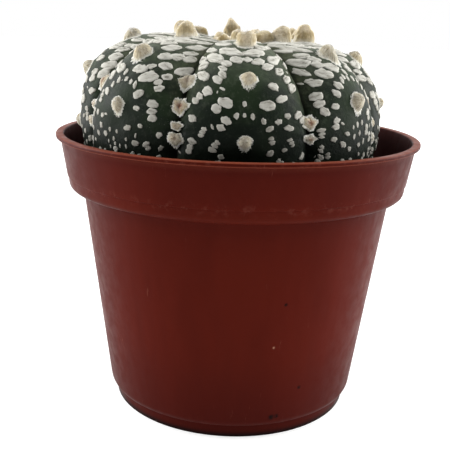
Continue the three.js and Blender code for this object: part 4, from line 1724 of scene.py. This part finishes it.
    def in_place(self, seats: Seats, x: Array, y: Array, up: Array) -> Array:
        """Puts local tuft coordinates on the skin, which the tuft follows.

        Args:
            seats: The seats, one for each tuft.
            x: Distances down the rib, (tufts, ...).
            y: Distances sideways.
            up: Distances outwards, along the direction that the tuft's middle looks in.

        Returns:
            Points in the stem's own frame.
        """
        shape = self.shape
        result = np.empty((*x.shape, 3))
        for index, rib in enumerate(shape.ribs):
            mine = seats.rib == index
            if not mine.any():
                continue
            flat = (-1,) + (1,) * (x.ndim - 1)
            length, sideways = seats.length[mine].reshape(flat), seats.sideways[mine].reshape(flat)
            if self.kind is TuftKind.GROOVE:
                groove = np.array(rib.middle - rib.half)
                ground = shape.groove_floor(groove, y[mine] + 0 * length, length + x[mine])
                out = shape.groove_out(groove + 0 * length, length)
            else:
                ground = shape.skin(rib, sideways + y[mine], length + x[mine]).here
                out = shape.skin(rib, sideways, length).out
            result[mine] = ground + up[mine][..., None] * out
        return result

    def strands(self, seats: Seats, random: Random) -> Surface:
        """Loose hairs on the tufts: thin three-sided tapering threads of three segments.

        Half of the hairs start on the dome and curl round it. The others start at its foot and
        lie outwards on the skin as a fringe, longest down the rib.

        Args:
            seats: Where the tufts grow.
            random: The source of the hairs.

        Returns:
            One surface with all the hairs.
        """
        form, n = FORMS[self.kind], len(seats.size)
        count = (n, form.hairs, 1)
        fringe = np.broadcast_to(np.arange(form.hairs)[None, :, None] % 2, count)

        def either(lying: tuple[float, float] | float, standing: tuple[float, float] | float) -> Array:
            """Random numbers between two ends, or one number, for the fringe and for the dome."""
            ends = [random.uniform(*e, count) if isinstance(e, tuple) else e for e in (lying, standing)]
            return np.where(fringe, *ends)

        around = random.uniform(0, FULL_TURN, count)
        along = np.linspace(0, 1, 4)
        polar = either((1.15, 1.5), (0.1, 1.4))
        curl = around + either(0.35, 1.0) * random.uniform(-0.9, 0.9, count) * along
        slope = polar + either(0.12, (-0.3, 0.6)) * along
        drawn = 1 + form.tip * np.maximum(0, np.cos(around)) ** 4
        drawn = drawn + form.corners * np.abs(np.sin(around)) ** 10
        longer = either((0.04, 0.2), (0.02, 0.16))
        reach = seats.size[:, None, None] * (either(0.9, 0.97) + longer * along + form.lump * 0.3)
        wide = reach * np.where(fringe, drawn + form.skirt, 1) * np.sin(slope)
        up = reach * np.cos(slope) * seats.rise[:, None, None] * either(0.15, 1.0) + 0.08
        points = self.threads(self.in_place(seats, wide * np.cos(curl), wide * np.sin(curl), up), along)
        hairs, ends = n * form.hairs, np.array([[2, 1, 0], [9, 10, 11]])
        faces = [copied(strip_faces(4, 3), hairs, 12), copied(ends, hairs, 12)]
        lying = either(0.95, self.dome_share * slope / (np.pi / 2))
        fall = np.repeat(lying + 0 * up, 3)
        values = {"fall": fall, "heart": 0 * fall, "youth": np.full(len(fall), form.youth)}
        return Surface(points, faces, values, np.repeat(random.uniform(0, 60, (hairs, 2)), 12, axis=0))

    def threads(self, line: Array, along: Array) -> Array:
        """Points of three-sided threads round lines: a triangle across each of a line's points.

        Args:
            line: The lines' points, (..., points, 3).
            along: Share of the line at each point; the thread tapers with it.

        Returns:
            Array (all points, 3).
        """
        ahead = unit(np.gradient(line, axis=2))
        across = unit(np.cross(ahead, unit(line) + 0.01))
        other = np.cross(ahead, across)
        corner = turns(3)[:, None]
        ring = across[..., None, :] * np.cos(corner) + other[..., None, :] * np.sin(corner)
        thick = (self.hair_radius * (1 - self.taper * along))[:, None, None]
        return (line[..., None, :] + ring * thick).reshape(-1, 3)

    def build(self) -> list[Surface]:
        """Makes the tufts in the part's frame.

        Returns:
            The tufts' bodies, and their hairs.
        """
        random = np.random.default_rng(FORMS[self.kind].seed)
        seats = self.seats(random)
        surfaces = [self.lumps(seats, random), self.strands(seats, random)]
        for surface in surfaces:
            surface.points = self.shape.to_part(surface.points)
        LOG.info("%s tufts: %d", self.kind.value, len(seats.size))
        return surfaces


@dataclass
class WoollyCover:
    """All the wool: the tufts of the flanks and grooves, and the young ones round the crown."""

    shape: StemShape
    pad_radius: float = 5.8
    pad_height: float = 2.1
    pad_rows: int = 24
    pad_sides: int = 72
    pad_lumps: tuple[tuple[float, float, int], ...] = ((0.55, 2.2, 31), (0.2, 0.9, 32), (0.09, 0.45, 33))
    finish: Wool = field(default_factory=Wool)

    def pad(self) -> Surface:
        """The wool at the growing point itself: a low cushion in the dip, as lumpy as the tufts.

        Its height falls as a half cosine from the middle to its edge. A lump is a depth, a size
        and a seed.

        Returns:
            The pad's surface, in the part's frame.
        """
        shape = self.shape
        share = np.linspace(0.06, 1, self.pad_rows)[:, None]
        around = turns(self.pad_sides)
        r = self.pad_radius * share * (1 + 0.06 * np.cos(5 * around))
        crest = shape.upper_line(np.linspace(0, 0.5, 400), shape.radius, shape.crest_power)
        up = self.pad_height * np.cos(share * np.pi / 2) - 0.25 * share
        grid = from_front(r, around, np.interp(r, *crest) + up)
        rough = sum(depth * ripple(grid, size, seed) for depth, size, seed in self.pad_lumps)
        grid[..., 2] += rough * ramp(share, 1.15, -1)
        base = shape.crown_height - shape.apex_dip
        points, faces = closed_grid(grid, [[0, 0, grid[0, :, 2].mean()], [0, 0, base - 1.5]])
        fall = np.append(0.7 * share * np.ones_like(r), [0, 1])
        values = {"fall": fall, "heart": 0 * fall, "youth": np.ones_like(fall)}
        return Surface(shape.to_part(points), faces, values, points[:, :2].copy())

    def build(self) -> None:
        """Builds the wool: the bodies of the tufts, and their hairs apart."""
        tufts = {kind: Tufts(self.shape, kind).build() for kind in TuftKind}
        old, old_hairs = (joined(list(pair)) for pair in zip(tufts[TuftKind.FLANK], tufts[TuftKind.GROOVE]))
        crown, crown_hairs = tufts[TuftKind.CROWN]
        body, hair = self.finish.make("wool_body"), self.finish.make("wool_hair")
        hand_over(make_piece("areole_wool", old, body), Slot.WOOL)
        hand_over(make_piece("areole_hairs", old_hairs, hair), Slot.WOOL)
        hand_over(make_piece("crown_tufts", joined([self.pad(), crown]), body), Slot.WOOL, "crown_wool")
        hand_over(make_piece("crown_hairs", crown_hairs, hair), Slot.WOOL)


# --- Soil --------------------


@dataclass
class Soil:
    """The soil in the pot: a crumbly top round the stem, and loose grains on it."""

    shape: StemShape
    pot: Pot
    gap: float = 0.3
    level: float = 39.3
    mound: float = 0.7
    mound_run: float = 4.0
    columns: int = 300
    rows: int = 26
    crumbs: int = 900
    grains: int = 620
    seed: int = 9
    soil_finish: PottingSoil = field(default_factory=PottingSoil)
    grit_finish: SoilGrit = field(default_factory=SoilGrit)

    def __post_init__(self) -> None:
        """Works out how wide the top is, and the hole that the stem stands in."""
        self.outer = self.wall_radius(self.level)
        self.depth = self.shape.centre[2] - self.level
        self.stem_radius = float(self.shape.under_radius(self.depth))

    def wall_radius(self, z: float) -> float:
        """Outer radius of the soil at a height."""
        pot = self.pot
        share = (z - pot.body_foot_z) / (pot.shoulder_z - pot.body_foot_z)
        return pot.body_foot + (pot.body_top - pot.body_foot) * share - pot.wall - self.gap

    def top_height(self, x: Array, y: Array, random: Random) -> Array:
        """Height of the soil's top: a low mound with many small bell-shaped crumbs.

        Args:
            x: Places along X.
            y: Places along Y.
            random: The source of the crumbs.

        Returns:
            Heights.
        """
        total = self.level + self.mound * ramp(np.hypot(x, y), self.outer, -self.mound_run)
        angle = random.uniform(0, FULL_TURN, self.crumbs)
        reach = self.outer * np.sqrt(random.uniform(0.6, 1, self.crumbs))
        width = random.uniform(0.3, 0.9, self.crumbs)
        rise = random.uniform(-0.25, 0.5, self.crumbs) * width
        for (a, b), w, h in zip(around_z(reach, angle), width, rise):
            total = total + h * np.exp(-((x - a) ** 2 + (y - b) ** 2) / w**2)
        return total

    def body(self, random: Random) -> Surface:
        """The soil as one closed surface: under, wall, top, and the hole that the stem stands in.

        Args:
            random: The source of its crumbs.

        Returns:
            The soil's surface.
        """
        bottom = self.pot.floor_z + self.pot.floor_thickness + self.gap
        angle = turns(self.columns)
        middle = np.array(self.shape.centre[:2]) * 0.7
        corner = bottom + 1.2
        radii = ((8, bottom), (self.wall_radius(bottom) - 1.2, bottom), (self.wall_radius(corner), corner))
        rows = [around_z(r, angle, z) for r, z in radii]
        rim, hole = around_z(self.outer, angle), self.stem_radius + 0.2
        flat = rim + (middle + around_z(hole, angle) - rim) * np.linspace(0, 1, self.rows)[:, None, None]
        rows += list(stacked(flat[..., 0], flat[..., 1], self.top_height(flat[..., 0], flat[..., 1], random)))
        for step in (4.0, 7.0, 10.0):
            r = min(float(self.shape.under_radius(self.depth + step)) + self.gap, hole)
            rows.append(stacked(*(middle + around_z(r, angle)).T, self.level - step))
        poles = [[0, 0, bottom], [*middle, self.shape.centre[2] - self.shape.taproot_depth - 1]]
        return Surface(*closed_grid(np.stack(rows), poles))

    def grit(self, random: Random) -> Surface:
        """Loose grains: uneven twelve-cornered stones turned any way, sunk a little into the top.

        Args:
            random: The source of the grains.

        Returns:
            One surface with all of them.
        """
        ball = bmesh.new()
        bmesh.ops.create_icosphere(ball, subdivisions=1, radius=1.0)
        corners = np.array([corner.co for corner in ball.verts])
        faces = np.array([[corner.index for corner in face.verts] for face in ball.faces])
        ball.free()
        n, per = self.grains, len(corners)
        angle = random.uniform(0, FULL_TURN, n)
        reach = random.uniform(self.stem_radius + 0.8, self.outer - 0.9, n)
        size = 0.22 + 0.55 * random.random(n) ** 2.5
        squash = random.uniform(0.55, 1.0, (n, 1, 3))
        rough = corners[None] * random.uniform(0.8, 1.15, (n, per, 1)) * squash * size[:, None, None]
        axis = unit(random.normal(size=(n, 3)))[:, None, :]
        turn = random.uniform(0, FULL_TURN, n)[:, None, None]
        turned = rough * np.cos(turn) + np.cross(axis, rough) * np.sin(turn)
        turned += axis * np.sum(axis * rough, axis=-1, keepdims=True) * (1 - np.cos(turn))
        z = self.level + 0.15 + self.mound * ramp(reach, self.outer, -self.mound_run) + size * 0.3
        points = (turned + around_z(reach, angle, z)[:, None]).reshape(-1, 3)
        return Surface(points, [copied(faces, n, per)], {"kind": np.repeat(random.random(n), per)})

    def build(self) -> None:
        """Builds the soil and its grains."""
        random = np.random.default_rng(self.seed)
        hand_over(make_piece("soil_bed", self.body(random), self.soil_finish.make()), Slot.SOIL, "soil")
        hand_over(make_piece("soil_grains", self.grit(random), self.grit_finish.make()), Slot.SOIL)


# --- Studio --------------------


@dataclass(frozen=True)
class SoftBox:
    """A large soft light: its name, its place and aim in metres, its size and its power."""

    name: str
    place: tuple[float, float, float]
    aim: tuple[float, float, float]
    size: tuple[float, float]
    power: float


@dataclass
class Studio:
    """A pale light table, a white backdrop, soft lights and the camera.

    sky says where the light tent's brightness begins and ends to rise along Y, and how strong it
    is before and beyond.
    """

    camera_place: tuple[float, float, float] = (0.0, -0.140735, 0.068534)
    yaw: float = -0.0130
    pitch: float = 0.2563
    roll: float = 0.0313
    focal_px: float = 775.83
    frame_px: float = 450.0
    sensor_mm: float = 36.0
    floor_radius: float = 2.5
    dome_radius: float = 2.6
    sky: tuple[float, float, float, float] = (-0.92, 0.3, 0.05, 1.45)
    boxes: tuple[SoftBox, ...] = (
        SoftBox("ceiling", (0.0, 0.05, 0.65), (0.0, 0.0, 0.05), (0.6, 0.6), 0.35),
        SoftBox("left_wall", (-0.8, 0.15, 0.3), (0.0, 0.0, 0.03), (0.8, 0.6), 11.0),
        SoftBox("right_wall", (0.8, 0.15, 0.3), (0.0, 0.0, 0.03), (0.8, 0.6), 9.8),
    )
    table: Glowing = Glowing("light_table", (0.55, 0.55, 0.55), 0.9, 0.05, 0.66)
    backdrop: Glowing = Glowing("backdrop_white", (0, 0, 0), 0.5, 0, 1)

    def set_piece(self, name: str, work: bmesh.types.BMesh, finish: Glowing) -> Object:
        """Makes an object of the stage from a bmesh, and frees the bmesh.

        Args:
            name: The object's name.
            work: Its shape.
            finish: Its finish.

        Returns:
            The object.
        """
        mesh = bpy.data.meshes.new(name)
        work.to_mesh(mesh)
        work.free()
        mesh.materials.append(finish.make())
        return new_object(name, mesh)

    def add_stage(self) -> None:
        """Lays the floor and puts a white dome round it that only the camera sees."""
        circle, ball = bmesh.new(), bmesh.new()
        bmesh.ops.create_circle(circle, cap_ends=True, segments=96, radius=self.floor_radius)
        bmesh.ops.create_uvsphere(ball, u_segments=48, v_segments=24, radius=self.dome_radius)
        floor = self.set_piece("floor", circle, self.table)
        dome = self.set_piece("backdrop", ball, self.backdrop)
        for kind in ("diffuse", "glossy", "transmission", "shadow", "volume_scatter"):
            setattr(dome, f"visible_{kind}", False)

    def add_lights(self) -> None:
        """Adds the soft boxes and the sky."""
        for box in self.boxes:
            light = bpy.data.lights.new(box.name, "AREA")
            light.shape = "RECTANGLE"
            light.size, light.size_y = box.size
            light.energy = box.power
            lamp = new_object(box.name, light)
            lamp.location = box.place
            lamp.rotation_euler = (Vector(box.aim) - Vector(box.place)).to_track_quat("-Z", "Y").to_euler()
            lamp.visible_camera = False
        bpy.context.scene.world = self.tent()

    def tent(self) -> World:
        """Makes the light tent: white behind, above and beside the plant, and dark in front of it.

        Returns:
            The world.
        """
        world = bpy.data.worlds.new("light_tent")
        world.use_nodes = True
        nodes = Nodes(world.node_tree)
        direction = nodes.add("ShaderNodeTexCoord", {}).outputs["Generated"]
        depth = nodes.add("ShaderNodeSeparateXYZ", {"Vector": direction}).outputs["Y"]
        nodes.feed(nodes.tree.nodes["Background"], {"Color": WHITE, "Strength": nodes.span(depth, *self.sky)})
        return world

    def add_camera(self) -> None:
        """Sets the camera: it looks along +Y, turned by its yaw, tipped down and rolled a little."""
        level = Vector((np.sin(self.yaw), np.cos(self.yaw), 0))
        ahead = level * np.cos(self.pitch) - Vector((0, 0, np.sin(self.pitch)))
        right = Vector((np.cos(self.yaw), -np.sin(self.yaw), 0))
        up = right.cross(ahead)
        rolled_right = np.cos(self.roll) * right + np.sin(self.roll) * up
        rolled_up = -np.sin(self.roll) * right + np.cos(self.roll) * up
        data = bpy.data.cameras.new("camera")
        data.sensor_width = self.sensor_mm
        data.lens = self.focal_px / self.frame_px * self.sensor_mm
        data.clip_start, data.clip_end = 0.01, 10
        camera = new_object("camera", data)
        axes = Matrix((rolled_right, rolled_up, -ahead)).transposed()
        camera.matrix_world = Matrix.Translation(self.camera_place) @ axes.to_4x4()
        bpy.context.scene.camera = camera

    def build(self) -> None:
        """Builds the studio."""
        self.add_stage()
        self.add_lights()
        self.add_camera()
        bpy.context.scene.view_settings.view_transform = "Standard"


def main() -> None:
    """Builds every part of the scene in order."""
    logging.basicConfig(level=logging.INFO, format="%(name)s: %(message)s")
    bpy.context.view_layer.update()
    pot, shape = Pot(), StemShape()
    for part in (pot, Soil(shape, pot), Skin(shape), Flecks(shape), WoollyCover(shape), Studio()):
        part.build()


if __name__ == "__main__":
    main()
